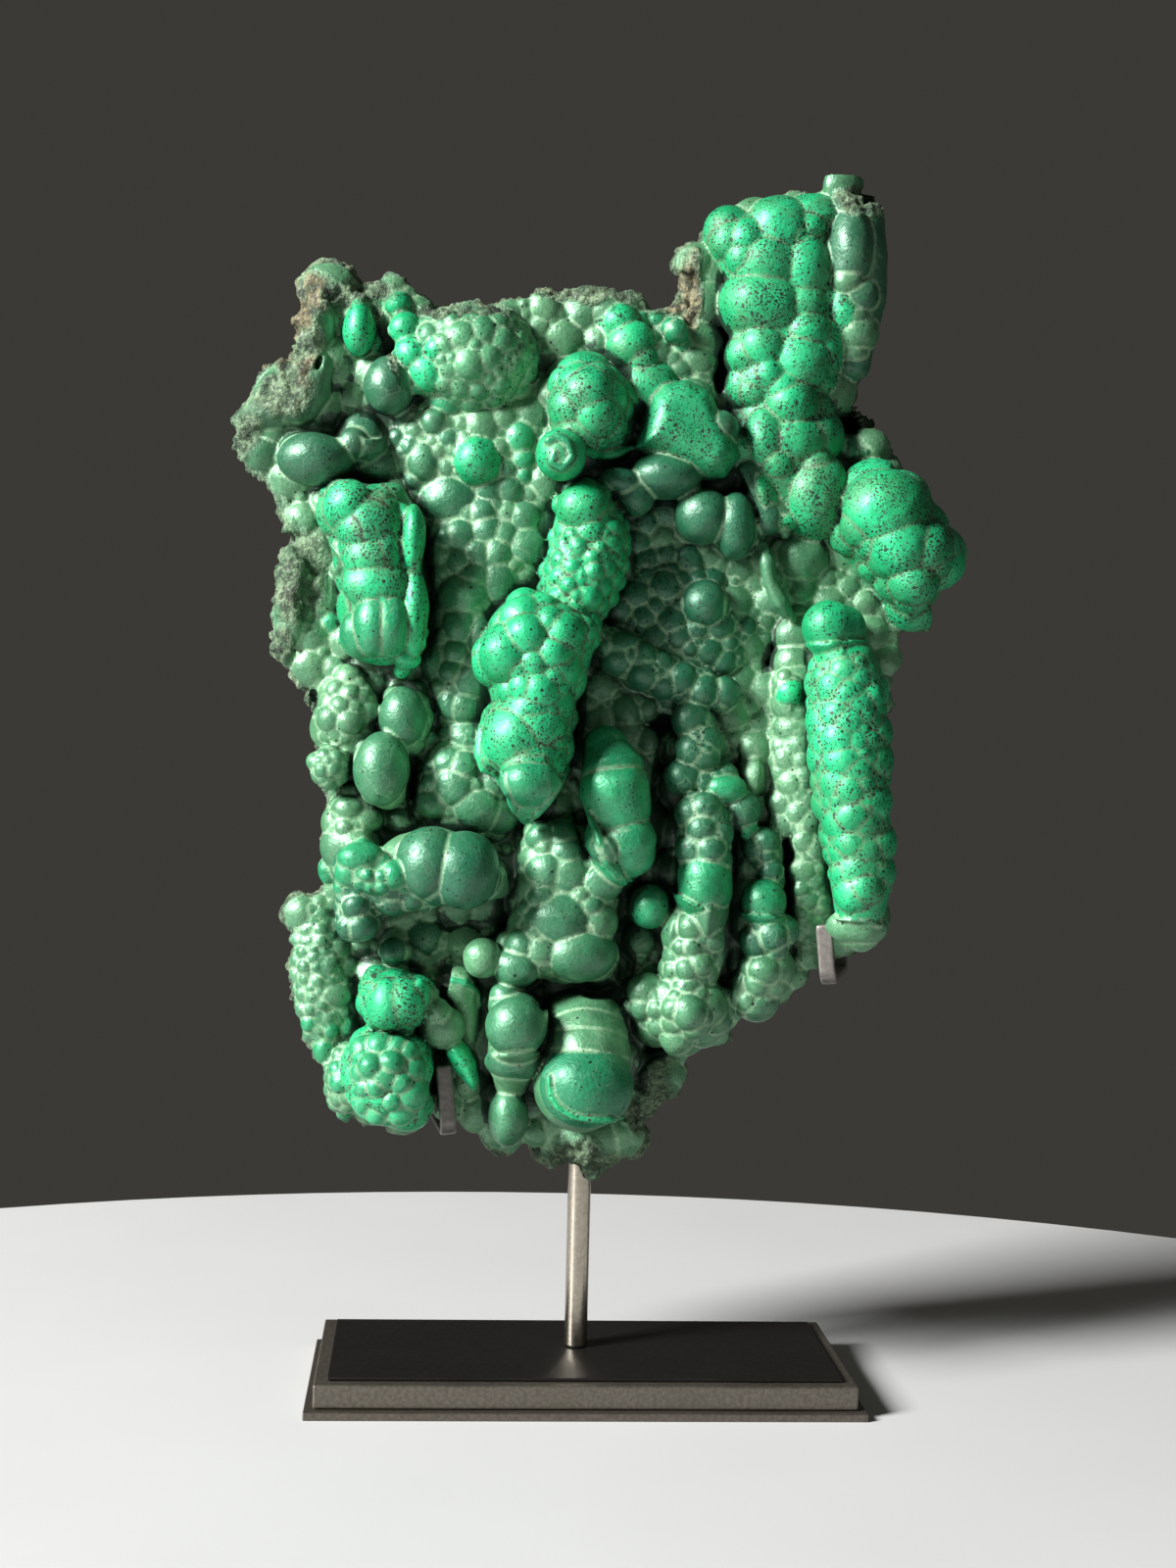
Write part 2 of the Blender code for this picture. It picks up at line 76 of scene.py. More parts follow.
OUTLINE = [
    (323, 280), (333, 278), (343, 280), (357, 288), (384, 287), (405, 285), (424, 297), (438, 311),
    (448, 319), (465, 323), (480, 318), (498, 310), (518, 309), (531, 301), (552, 302), (577, 294),
    (597, 292), (617, 298), (645, 294), (658, 300), (664, 313), (670, 317), (685, 310), (693, 300),
    (694, 280), (700, 258), (715, 253), (717, 232), (728, 217), (745, 210), (800, 203), (845, 190),
    (862, 198), (893, 201), (893, 218), (891, 240), (895, 262), (894, 300), (888, 328), (881, 343),
    (872, 385), (866, 403), (880, 425), (898, 447), (914, 478), (925, 500), (930, 560), (925, 620),
    (917, 662), (908, 700), (902, 770), (897, 795), (901, 820), (905, 856), (907, 905), (896, 940),
    (872, 966), (848, 974), (830, 988), (817, 1005), (790, 1024), (763, 1036), (747, 1049), (734, 1063),
    (710, 1070), (699, 1084), (688, 1108), (670, 1135), (645, 1169), (626, 1190), (602, 1207),
    (583, 1186), (565, 1179), (534, 1160), (530, 1172), (508, 1176), (484, 1151), (455, 1140),
    (440, 1135), (417, 1152), (377, 1146), (347, 1138), (337, 1113), (332, 1088), (311, 1068),
    (305, 1036), (297, 1014), (294, 988), (302, 950), (292, 931), (297, 923), (330, 907), (326, 886),
    (328, 850), (333, 812), (330, 790), (330, 768), (323, 749), (320, 734), (313, 713), (306, 691),
    (291, 681), (277, 664), (275, 650), (283, 625), (284, 589), (291, 560), (296, 545), (296, 509),
    (273, 486), (250, 469), (239, 450), (235, 431), (257, 399), (274, 390), (291, 374), (303, 346),
    (296, 330), (303, 313), (315, 300),
]

# Looks: cell radius in pixels, cell rise over radius, freshness, specks, darkness
FIELD = (15, 0.34, 0.12, 0.05, 0.00)
FINE = (9.0, 0.40, 0.35, 0.25, 0.00)
TINY = (6.5, 0.48, 0.25, 0.05, 0.10)
COBBLE = (18, 0.36, 0.20, 0.08, 0.10)
VIVID = (20, 0.30, 1.00, 1.00, 0.00)
BEADED = (8.5, 0.50, 0.95, 0.35, 0.00)
PEBBLED = (15, 0.27, 0.90, 0.80, 0.00)
PLAIN = (0, 0.0, 0.20, 0.03, 0.00)
SAGE = (15, 0.30, 0.08, 0.05, 0.05)
GLOSSY = (0, 0.0, 0.70, 0.10, 0.30)
BALL = (0, 0.0, 0.35, 0.05, 0.42)
OVAL = (0, 0.0, 0.75, 0.15, 0.60)
BELL = (0, 0.0, 0.80, 0.70, 0.15)
BRIGHT = (0, 0.0, 1.00, 0.40, 0.00)
# DEEP: its darkness is partly the darker green of the recessed forms, partly painted shade for the recess
DEEP = (13, 0.42, 0.45, 0.20, 0.65)
DUSKY = (0, 0.0, 0.25, 0.10, 0.60)
ROUGH = (0, 0.0, 0.10, 0.00, 0.20)

# Ellipsoids: look, pixel x, pixel y, depth y in mm, half width and half height in pixels, half depth in mm,
# turn in degrees
MASSES = [
    (PLAIN, 594, 1042, -11, 44, 34, 18, 0),
    (PLAIN, 595, 1058, -14, 46, 42, 20, 0),
    (PLAIN, 595, 1075, -17, 48, 48, 21, 0),
    (PLAIN, 594, 1090, -19, 49, 54, 21, 0),
    (PLAIN, 594, 1104, -22, 50, 50, 20, 0),
    (FINE, 480, 366, -9, 68, 56, 16, 0),
    (FIELD, 520, 455, -8, 120, 80, 8, 0),
    (FIELD, 500, 560, -8, 70, 80, 8, 0),
    (COBBLE, 478, 660, -6, 38, 125, 12, 5),
    (COBBLE, 478, 800, -8, 58, 62, 13, 0),
    (ROUGH, 325, 335, -5, 22, 50, 12, 8),
    (ROUGH, 288, 418, -5, 44, 24, 12, -25),
    (ROUGH, 300, 610, -4, 22, 60, 11, 0),
    (DEEP, 690, 640, -6, 88, 68, 8, 25),
    (FIELD, 356, 732, -8, 33, 48, 12, 0),
    (FIELD, 360, 855, -8, 28, 58, 10, 0),
    (TINY, 332, 1000, -4, 33, 90, 10, -6),
    (TINY, 354, 1098, -8, 22, 36, 11, 0),
    (SAGE, 862, 290, -2, 34, 108, 18, -4),
    (DEEP, 872, 462, 2, 24, 54, 13, -28),
    (SAGE, 878, 715, 2, 24, 108, 11, -6),
    (VIVID, 800, 460, -8, 56, 86, 12, 0),
    (COBBLE, 696, 1026, -10, 52, 40, 16, 0),
    (ROUGH, 600, 1158, -4, 48, 30, 11, 0),
    (SAGE, 694, 384, -6, 60, 60, 8, 0),
    (SAGE, 818, 800, -5, 42, 190, 13, -3),
    (COBBLE, 415, 735, -10, 26, 38, 11, 0),
    (FIELD, 480, 1020, -2, 66, 116, 9, 0),
    (DEEP, 640, 900, -2, 66, 186, 7, 0),
    (SAGE, 750, 930, -2, 60, 110, 10, 20),
    (DUSKY, 398, 395, -8, 24, 24, 9, 0),
    (DUSKY, 372, 452, -8, 24, 26, 10, 0),
    (DUSKY, 318, 468, -8, 36, 24, 10, 25),
    (ROUGH, 420, 400, 15, 95, 80, 7, 0),
    (ROUGH, 760, 400, 15, 80, 120, 8, 10),
    (ROUGH, 380, 720, 15, 62, 150, 7, 0),
    (ROUGH, 760, 760, 14, 100, 130, 7, -20),
    (ROUGH, 620, 560, 14, 120, 90, 6, 0),
]

# Pads: forms with a domed front inside an outline. Look, depth of their rim in mm, height of the dome,
# width over which it rises, how far the front comes forward per mm down, then the outline in pixels
PADS = [
    (BRIGHT, -16, 7, 4, 0.0, (456, 1062), (466, 1059), (478, 1069), (487, 1086), (489, 1104), (484, 1116),
     (474, 1104), (462, 1090), (454, 1075)),
    (BEADED, -16, 15, 10, 0.10, (572, 506), (588, 491), (606, 487), (622, 501), (633, 522), (643, 548),
     (638, 580), (627, 612), (614, 633), (609, 659), (560, 664), (552, 620), (554, 598), (559, 569),
     (564, 548), (570, 530)),
    (PEBBLED, -22, 22, 12, 0.02, (555, 604), (590, 615), (612, 640), (600, 676), (588, 717), (584, 769),
     (577, 783), (560, 806), (543, 815), (520, 806), (506, 790), (490, 783), (487, 756), (493, 733),
     (504, 717), (501, 700), (489, 688), (487, 662), (496, 643), (511, 622), (527, 606)),
    (VIVID, -10, 21, 13, 0.02, (324, 498), (340, 488), (362, 493), (395, 489), (410, 497), (417, 522),
     (432, 545), (431, 576), (421, 588), (427, 602), (434, 630), (431, 656), (418, 670), (385, 674),
     (358, 668), (344, 655), (350, 620), (345, 590), (338, 556), (326, 524)),
    (VIVID, 2, 22, 15, 0.02, (714, 236), (727, 217), (745, 209), (764, 204), (800, 200), (838, 196),
     (852, 215), (862, 250), (862, 300), (868, 330), (868, 360), (862, 388), (850, 406), (848, 440),
     (862, 468), (868, 500), (852, 530), (830, 550), (806, 552), (798, 520), (793, 480), (772, 475),
     (757, 455), (760, 425), (744, 420), (733, 395), (736, 372), (731, 350), (736, 325), (732, 290),
     (722, 265)),
    (VIVID, -4, 28, 16, 0.0, (845, 545), (852, 520), (870, 482), (890, 472), (918, 478), (938, 490),
     (952, 515), (974, 538), (986, 560), (979, 586), (960, 602), (946, 622), (932, 638), (914, 624),
     (892, 598), (866, 572)),
    (COBBLE, -10, 16, 10, 0.08, (534, 840), (554, 836), (583, 836), (603, 850), (612, 868), (634, 883),
     (641, 900), (630, 922), (627, 965), (620, 992), (594, 1004), (566, 1004), (549, 996), (528, 1014),
     (505, 1004), (504, 980), (510, 958), (523, 937), (531, 894), (532, 863)),
    (ROUGH, -4, 14, 7, 0.0, (296, 366), (312, 352), (330, 350), (344, 366), (348, 386), (341, 410),
     (328, 428), (308, 441), (286, 436), (280, 420), (290, 398)),
    (GLOSSY, -18, 18, 10, 0.0, (345, 885), (354, 863), (369, 856), (386, 865), (411, 870), (427, 886),
     (426, 906), (409, 920), (389, 927), (366, 916), (349, 910)),
    (VIVID, -12, 21, 9, 0.0, (368, 1028), (368, 1006), (376, 990), (409, 989), (443, 1004), (443, 1018),
     (435, 1030), (431, 1050), (403, 1054), (373, 1048)),
    (PEBBLED, -12, 22, 12, -0.03, (350, 1074), (366, 1054), (400, 1046), (429, 1056), (441, 1077),
     (443, 1114), (440, 1137), (420, 1154), (380, 1148), (356, 1131), (347, 1100)),
    (VIVID, -10, 20, 16, 0.0, (556, 412), (560, 385), (575, 366), (600, 360), (625, 368), (643, 392),
     (648, 425), (640, 452), (612, 464), (582, 462), (562, 445)),
    (BELL, -12, 15, 8, 0.16, (662, 402), (676, 388), (702, 384), (728, 396), (738, 420), (752, 446),
     (757, 466), (742, 488), (722, 491), (700, 478), (672, 466), (647, 457), (652, 438)),
]

# Fingers and lobes: look, then points of pixel x, pixel y, depth y in mm, radius in pixels
FINGERS = [
    (PLAIN, (418, 884, -20, 34), (440, 882, -25, 39), (472, 888, -27, 36), (496, 898, -24, 22),
     (506, 904, -20, 14)),
    (PLAIN, (520, 1026, -20, 22), (528, 1052, -24, 30), (524, 1084, -21, 26), (522, 1100, -15, 20)),
    (VIVID, (604, 316, -4, 18), (630, 334, -6, 24), (650, 360, -8, 26), (664, 392, -8, 24)),
    (PLAIN, (778, 556, -15, 5), (783, 574, -17, 8), (786, 594, -17, 8), (796, 614, -17, 9),
     (805, 630, -15, 6)),
    (PLAIN, (775, 478, -14, 5), (788, 500, -15, 8), (799, 527, -15, 8), (801, 545, -14, 5)),
    (VIVID, (440, 425, -12, 10), (452, 438, -12, 10), (462, 448, -11, 9)),
    (ROUGH, (700, 262, -4, 9), (704, 300, -5, 8), (706, 330, -5, 9)),
    (ROUGH, (244, 452, -2, 9), (262, 474, -4, 10), (282, 490, -5, 10), (292, 512, -5, 9),
     (296, 540, -5, 9)),
    (GLOSSY, (540, 796, -38, 31), (539, 812, -36, 23)),
    (BRIGHT, (410, 520, -24, 8), (422, 546, -26, 11), (426, 572, -26, 10), (418, 590, -25, 7)),
    (BRIGHT, (422, 600, -25, 8), (428, 628, -26, 11), (428, 652, -25, 9), (416, 672, -22, 9),
     (410, 684, -18, 8)),
    (DEEP, (395, 902, -24, 26), (430, 905, -26, 22)),
    (DEEP, (362, 890, -24, 20), (366, 938, -24, 20)),
    (FIELD, (403, 972, -14, 14)),
    (COBBLE, (443, 1034, -22, 12), (453, 1052, -20, 10)),
    (PLAIN, (468, 1003, -16, 17), (478, 1040, -12, 13), (480, 1080, -8, 12)),
    (PLAIN, (492, 978, -22, 20)),
    (FIELD, (518, 1140, -15, 18)),
    (GLOSSY, (618, 765, -22, 24), (624, 785, -25, 33)),
    (GLOSSY, (627, 806, -27, 36), (632, 826, -26, 33)),
    (GLOSSY, (640, 858, -27, 31), (641, 868, -26, 28)),
    (PLAIN, (636, 886, -21, 12)),
    (PLAIN, (662, 920, -12, 20)),
    (DEEP, (706, 742, -13, 20), (712, 765, -15, 21)),
    (DEEP, (697, 793, -15, 17), (735, 800, -15, 18), (752, 826, -14, 17)),
    (DEEP, (716, 832, -19, 25), (719, 866, -20, 26)),
    (GLOSSY, (719, 893, -22, 28), (719, 908, -22, 28)),
    (COBBLE, (712, 945, -17, 27), (704, 990, -17, 28)),
    (COBBLE, (702, 1030, -20, 30), (690, 1056, -17, 19)),
    (COBBLE, (662, 1022, -13, 24)),
    (SAGE, (770, 755, -6, 15), (766, 800, -9, 14)),
    (GLOSSY, (761, 826, -13, 12), (760, 842, -15, 13)),
    (DEEP, (778, 862, -13, 14), (786, 885, -14, 12), (790, 895, -14, 8)),
    (PLAIN, (770, 885, -8, 18)),
    (GLOSSY, (779, 920, -18, 23)),
    (DEEP, (783, 955, -15, 25)),
    (COBBLE, (780, 990, -14, 25), (768, 1014, -13, 22)),
    (PLAIN, (751, 965, -9, 10), (750, 985, -10, 10)),
    (BRIGHT, (846, 640, -33, 28), (858, 644, -31, 26)),
    (PEBBLED, (862, 694, -31, 37), (866, 760, -33, 40), (868, 800, -33, 38), (872, 840, -33, 34),
     (878, 885, -33, 31)),
    (BRIGHT, (878, 902, -34, 31), (878, 922, -33, 27)),
    (PLAIN, (876, 948, -28, 24)),
    (SAGE, (805, 700, -13, 18), (812, 770, -10, 17), (822, 850, -9, 18), (832, 925, -8, 16)),
    (DUSKY, (878, 222, -8, 24), (880, 262, -10, 26), (880, 300, -10, 25), (874, 338, -9, 22),
     (870, 372, -8, 18)),
    (DUSKY, (765, 484, -13, 18), (783, 530, -14, 17)),
    (BRIGHT, (574, 464, -24, 22)),
    (VIVID, (408, 312, -9, 11), (416, 345, -13, 14), (430, 388, -14, 16)),
    (PLAIN, (367, 335, -10, 15), (370, 350, -10, 12)),
    (GLOSSY, (690, 337, -14, 12)),
    (DUSKY, (735, 438, -19, 20)),
    (DUSKY, (675, 485, -15, 20), (695, 485, -15, 20)),
    (DUSKY, (632, 485, -16, 16)),
    (DUSKY, (647, 506, -14, 17)),
    (DUSKY, (717, 526, -12, 25)),
    (DUSKY, (750, 538, -10, 30)),
    (DEEP, (620, 657, -14, 19), (655, 680, -13, 21), (700, 698, -12, 20), (733, 710, -11, 17)),
    (DEEP, (720, 620, -10, 22)),
    (TINY, (337, 783, -16, 19)),
    (PLAIN, (386, 775, -20, 25), (395, 804, -18, 22)),
    (PLAIN, (412, 722, -15, 20), (412, 748, -15, 20)),
]

# Cells listed on the forms: look, rise over radius, then pixel x, pixel y, and the radius or the
# half width and half height in pixels
CELLS = [
    (VIVID, 0.42, (737, 221, 21), (734, 246, 18), (755, 264, 14), (795, 217, 28), (787, 266, 24),
     (826, 270, 20, 27), (833, 228, 13), (812, 238, 12), (770, 308, 34, 30), (751, 364, 19),
     (778, 352, 18), (787, 380, 12), (748, 398, 13, 18), (766, 405, 13), (825, 336, 17), (819, 364, 22),
     (854, 352, 13, 24), (857, 317, 13, 17), (847, 391, 12), (812, 411, 21), (775, 446, 18, 26),
     (816, 449, 24, 20), (831, 506, 27, 34), (794, 472, 13), (840, 470, 14), (800, 393, 12),
     (845, 300, 10)),
    (VIVID, 0.38, (908, 508, 37, 34), (868, 536, 18), (912, 564, 28), (956, 549, 22), (959, 578, 17),
     (937, 600, 22), (925, 617, 15), (888, 562, 15), (884, 585, 12), (935, 528, 12)),
    (DUSKY, 0.45, (872, 250, 20, 36), (884, 300, 14), (866, 205, 14)),
    (VIVID, 0.28, (344, 514, 22), (378, 502, 22, 14), (391, 530, 20), (362, 541, 17), (374, 568, 19, 16),
     (350, 562, 13), (381, 596, 24, 19), (358, 596, 12), (399, 565, 11, 18), (404, 600, 13, 17)),
    (GLOSSY, 0.5, (378, 641, 17, 26), (402, 641, 17, 26), (354, 647, 17, 20), (337, 636, 10)),
    (BRIGHT, 0.45, (420, 548, 10, 27), (421, 624, 11, 34), (412, 674, 12, 9)),
    (BRIGHT, 0.75, (487, 470, 21, 22), (572, 464, 21)),
    (BALL, 0.50, (452, 510, 25, 24), (431, 470, 14, 18), (457, 446, 9), (493, 522, 12), (498, 540, 13),
     (538, 527, 15), (559, 533, 12), (541, 557, 18), (508, 564, 12, 17), (488, 564, 12), (483, 586, 14),
     (467, 572, 12), (467, 606, 22, 20), (466, 636, 15, 18), (486, 651, 10, 20), (464, 664, 11),
     (459, 685, 11), (485, 696, 18), (440, 674, 20, 22), (440, 432, 12), (456, 719, 11, 15),
     (477, 722, 16), (456, 748, 11), (477, 748, 17), (435, 759, 13), (422, 775, 12), (438, 783, 9),
     (440, 798, 11), (456, 777, 14), (471, 783, 15), (462, 802, 19), (440, 821, 17), (489, 828, 23, 21),
     (515, 832, 20), (506, 799, 14), (409, 733, 20, 26), (390, 733, 9), (390, 748, 10), (418, 455, 9),
     (420, 492, 9), (518, 478, 8), (470, 545, 13), (455, 548, 11), (515, 545, 12), (520, 500, 12),
     (500, 500, 12), (425, 700, 11)),
    (GLOSSY, 0.6, (532, 446, 13, 15), (535, 468, 10), (453, 413, 14), (535, 485, 7)),
    (BALL, 0.5, (510, 596, 15, 24), (527, 615, 9)),
    (DUSKY, 0.6, (398, 394, 22, 25), (373, 440, 21, 25), (325, 467, 32, 22), (354, 452, 14),
     (381, 479, 25, 17), (348, 496, 13), (404, 446, 9), (419, 408, 9), (408, 425, 10), (350, 476, 10)),
    (BRIGHT, 0.55, (367, 333, 14, 24), (383, 350, 11), (404, 305, 12), (414, 330, 14), (418, 358, 15),
     (433, 380, 15), (443, 355, 10)),
    (VIVID, 0.4, (600, 395, 22), (575, 415, 20), (612, 425, 20), (590, 440, 17), (628, 405, 18),
     (585, 385, 16), (610, 450, 12), (635, 435, 12)),
    (FINE, 0.45, (470, 340, 14), (495, 335, 13), (515, 345, 13), (480, 372, 15), (452, 350, 11),
     (500, 365, 12)),
    (BRIGHT, 0.5, (590, 514, 23), (604, 541, 12), (571, 540, 11), (613, 524, 9), (575, 520, 12),
     (563, 565, 9), (603, 610, 12), (563, 629, 13), (578, 643, 17), (566, 664, 15), (525, 622, 18),
     (537, 647, 18), (504, 664, 23, 25), (551, 705, 15), (531, 702, 11), (513, 705, 10), (508, 632, 14),
     (590, 622, 10), (545, 675, 11)),
    (PEBBLED, 0.30, (520, 750, 26), (548, 742, 20), (556, 772, 20), (530, 776, 17), (510, 776, 14),
     (568, 752, 14), (538, 724, 15), (515, 728, 13)),
    (GLOSSY, 0.4, (540, 806, 25, 20)),
    (BALL, 0.5, (392, 790, 23, 31)),
    (SAGE, 0.55, (357, 686, 14), (340, 682, 12), (372, 677, 11), (384, 697, 12), (340, 702, 10),
     (358, 706, 9), (373, 710, 8), (333, 733, 13), (358, 738, 12), (380, 725, 11), (390, 742, 11),
     (345, 805, 8), (333, 803, 8), (375, 812, 11), (355, 823, 15, 12), (380, 835, 15, 13),
     (410, 838, 20, 13), (350, 843, 9)),
    (GLOSSY, 0.7, (332, 889, 11, 14), (368, 868, 20, 13), (352, 890, 13), (375, 893, 5), (367, 903, 6),
     (378, 906, 6), (390, 893, 6), (390, 906, 6), (403, 890, 12), (412, 903, 8), (389, 877, 9),
     (346, 906, 8)),
    (DEEP, 0.30, (433, 878, 25, 28), (477, 888, 28, 31), (445, 918, 15), (503, 902, 12)),
    (DEEP, 0.6, (362, 925, 12), (372, 949, 14), (353, 948, 10), (400, 970, 12), (433, 957, 17),
     (422, 976, 10)),
    (VIVID, 0.32, (400, 995, 26, 14), (385, 1028, 17, 21), (415, 1022, 18), (432, 1000, 14),
     (372, 1010, 13), (398, 1048, 16)),
    (GLOSSY, 0.65, (365, 1068, 12), (388, 1062, 13), (405, 1065, 11), (418, 1072, 10), (377, 1088, 11),
     (400, 1084, 11), (425, 1091, 12), (393, 1100, 11), (410, 1105, 10), (365, 1095, 8), (370, 1112, 8),
     (383, 1110, 9), (425, 1116, 15), (400, 1125, 8), (368, 1130, 11), (383, 1140, 11), (395, 1143, 9),
     (410, 1140, 12), (345, 1105, 10), (342, 1090, 8), (350, 1136, 8), (330, 1073, 11, 14),
     (338, 1052, 8), (357, 1048, 11, 14), (315, 1045, 9)),
    (SAGE, 0.5, (350, 965, 10), (338, 985, 9), (358, 985, 10), (345, 1015, 15, 12)),
    (BALL, 0.50, (550, 850, 13), (577, 850, 13), (580, 870, 14), (556, 888, 17), (581, 891, 17),
     (551, 915, 12), (535, 926, 9), (572, 937, 25, 22), (622, 905, 18), (615, 872, 12), (527, 962, 14),
     (525, 990, 19, 17), (604, 925, 10), (512, 1012, 13)),
    (BALL, 0.4, (594, 977, 32, 24), (526, 1057, 25, 26), (524, 1090, 22, 18), (518, 1138, 17, 26),
     (526, 1020, 20, 14)),
    (OVAL, 0.20, (603, 1108, 36, 33)),
    (DEEP, 0.5, (660, 570, 12), (650, 552, 12), (648, 605, 15, 12), (680, 565, 10), (703, 570, 14),
     (730, 590, 12), (715, 610, 20), (685, 632, 13), (693, 650, 11), (658, 665, 13), (678, 672, 10),
     (635, 652, 17, 11), (698, 690, 14), (683, 715, 12), (725, 665, 13), (740, 675, 12), (717, 526, 24),
     (750, 536, 18, 28), (684, 520, 16), (659, 533, 12), (645, 502, 18), (631, 484, 18, 12),
     (681, 484, 30, 20)),
    (PLAIN, 0.6, (819, 567, 25), (818, 600, 14)),
    (GLOSSY, 0.6, (740, 806, 18, 13), (662, 920, 19)),
    (COBBLE, 0.5, (705, 945, 14), (693, 966, 9), (706, 966, 9), (700, 990, 10), (717, 985, 11),
     (702, 1006, 12), (683, 990, 8), (668, 1030, 9), (683, 1030, 11), (683, 1046, 10), (670, 1050, 10),
     (690, 1066, 14), (705, 1035, 16), (712, 1052, 13), (760, 1022, 11), (750, 1034, 10), (780, 990, 15),
     (772, 1006, 12), (730, 1020, 16), (735, 1045, 12), (640, 1010, 12), (652, 1030, 11)),
    (BRIGHT, 0.55, (808, 708, 13)),
    (SAGE, 0.28, (800, 775, 11), (793, 722, 12), (800, 745, 12), (806, 800, 12), (812, 830, 11),
     (815, 860, 12), (820, 890, 12), (826, 920, 11), (830, 945, 10)),
    (PEBBLED, 0.28, (845, 700, 14), (865, 705, 13), (880, 715, 11), (885, 731, 9), (848, 728, 13),
     (866, 735, 13), (850, 754, 15), (877, 756, 9), (891, 755, 9), (835, 760, 10), (858, 776, 14),
     (878, 785, 12), (885, 800, 9), (843, 800, 13, 17), (866, 806, 13), (845, 840, 14, 17),
     (870, 835, 15), (888, 840, 12), (865, 862, 12), (890, 868, 12), (850, 872, 10), (872, 888, 15),
     (893, 735, 9), (832, 690, 9), (862, 680, 12), (880, 690, 10)),
    (BRIGHT, 0.35, (864, 917, 15, 16), (885, 908, 14)),
    (PLAIN, 0.35, (872, 952, 24, 16)),
    (GLOSSY, 0.5, (655, 325, 10), (670, 322, 10), (680, 333, 9), (690, 340, 11), (697, 353, 8),
     (668, 343, 8)),
]

# Pits and gaps: pixel x, pixel y, depth y in mm, half width, half height in pixels, half depth in mm, turn
PITS = [
    (375, 425, -20, 30, 22, 12, 20), (345, 430, -16, 20, 16, 10, 0), (350, 385, -16, 12, 26, 10, 10),
    (601, 338, -20, 9, 15, 16, -25), (643, 556, -28, 6, 9, 8, 0), (310, 668, -12, 15, 16, 10, 0),
    (320, 714, -12, 8, 12, 8, 0), (640, 965, -16, 15, 52, 16, 0), (664, 1088, -16, 16, 34, 14, 25),
    (470, 942, -16, 34, 13, 14, 0), (512, 934, -12, 10, 18, 12, 0), (436, 598, -18, 8, 72, 16, -3),
    (622, 474, -22, 36, 8, 14, 0), (675, 742, -12, 36, 14, 14, 8), (590, 735, -14, 8, 50, 14, 5),
    (676, 830, -12, 13, 76, 14, 0), (749, 870, -13, 5, 84, 14, 0), (802, 880, -8, 6, 66, 14, -4),
    (646, 908, -14, 28, 10, 12, 0), (866, 432, -8, 18, 28, 14, -35), (735, 340, -10, 12, 62, 14, 0),
    (452, 1000, -14, 8, 26, 12, 10), (446, 1100, -16, 8, 40, 14, 0), (498, 1110, -12, 7, 40, 12, 0),
    (372, 976, -14, 12, 8, 10, 0), (415, 702, -18, 14, 8, 10, 0), (420, 800, -12, 6, 36, 12, 0),
    (615, 1010, -16, 24, 10, 12, 0), (875, 204, -8, 22, 9, 8, 15), (326, 372, -14, 3, 9, 8, 15),
    (790, 660, -8, 8, 40, 12, 20), (760, 505, -14, 5, 30, 10, -25), (560, 825, -20, 8, 20, 12, 30),
]

# Scoops in the hidden back, given like the pits
SCOOPS = [
    (520, 470, 44, 110, 90, 28, 0), (850, 560, 40, 80, 70, 24, 0), (520, 760, 42, 90, 120, 26, 0),
    (860, 240, 40, 70, 70, 24, 0), (330, 1010, 38, 70, 100, 23, 0),
]

# Broken rough stone seen from the front: pixel x, pixel y, half width, half height, turn, share of tan
BROKEN = [
    (318, 300, 36, 26, 0, 0.9), (305, 350, 26, 60, 12, 0.8), (285, 405, 50, 26, -25, 0.4),
    (250, 440, 24, 40, 25, 0.1), (300, 590, 34, 62, 0, 0.2), (288, 660, 14, 30, 0, 0.3),
    (345, 300, 20, 14, 0, 0.5), (385, 296, 34, 14, 0, 0.2), (395, 350, 7, 50, -18, 0.0),
    (470, 318, 54, 14, 0, 0.0), (600, 297, 74, 14, 0, 0.3), (703, 292, 14, 46, 0, 1.0),
    (680, 312, 26, 13, 0, 0.5), (590, 1185, 50, 26, 0, 0.0), (665, 1120, 26, 44, 30, 0.0),
    (880, 203, 32, 18, 10, 0.0), (330, 1150, 26, 8, 0, 0.2),
]

# Outer layers that end in a clean edge: look, thickness in mm, cutting lines in pixels (the layer stays
# on the right of each line from its first to its second point), then the points of the form below it
LAYERS = [
    (GLOSSY, 1.8, [((590, 800), (655, 788))], [(618, 765, -22, 25), (624, 783, -25, 34)]),
    (GLOSSY, 1.8, [((600, 850), (668, 846))], [(627, 806, -27, 37), (632, 824, -26, 35)]),
    (GLOSSY, 1.6, [((612, 846), (640, 900))], [(634, 858, -26, 36), (636, 872, -25, 30)]),
    (GLOSSY, 2.0, [((690, 912), (742, 938))], [(719, 885, -22, 29), (719, 905, -22, 31)]),
    (GLOSSY, 2.0, [((754, 930), (800, 937))], [(779, 914, -18, 24), (779, 920, -18, 25)]),
    (PLAIN, 1.8, [((500, 1042), (560, 1030))], [(527, 1028, -27, 30), (527, 1040, -28, 30)]),
    (PLAIN, 2.0, [((500, 1077), (556, 1072))], [(527, 1045, -28, 29), (527, 1056, -29, 29)]),
    (BRIGHT, 2.0, [((826, 657), (884, 652))], [(848, 640, -33, 30), (858, 642, -31, 29)]),
]

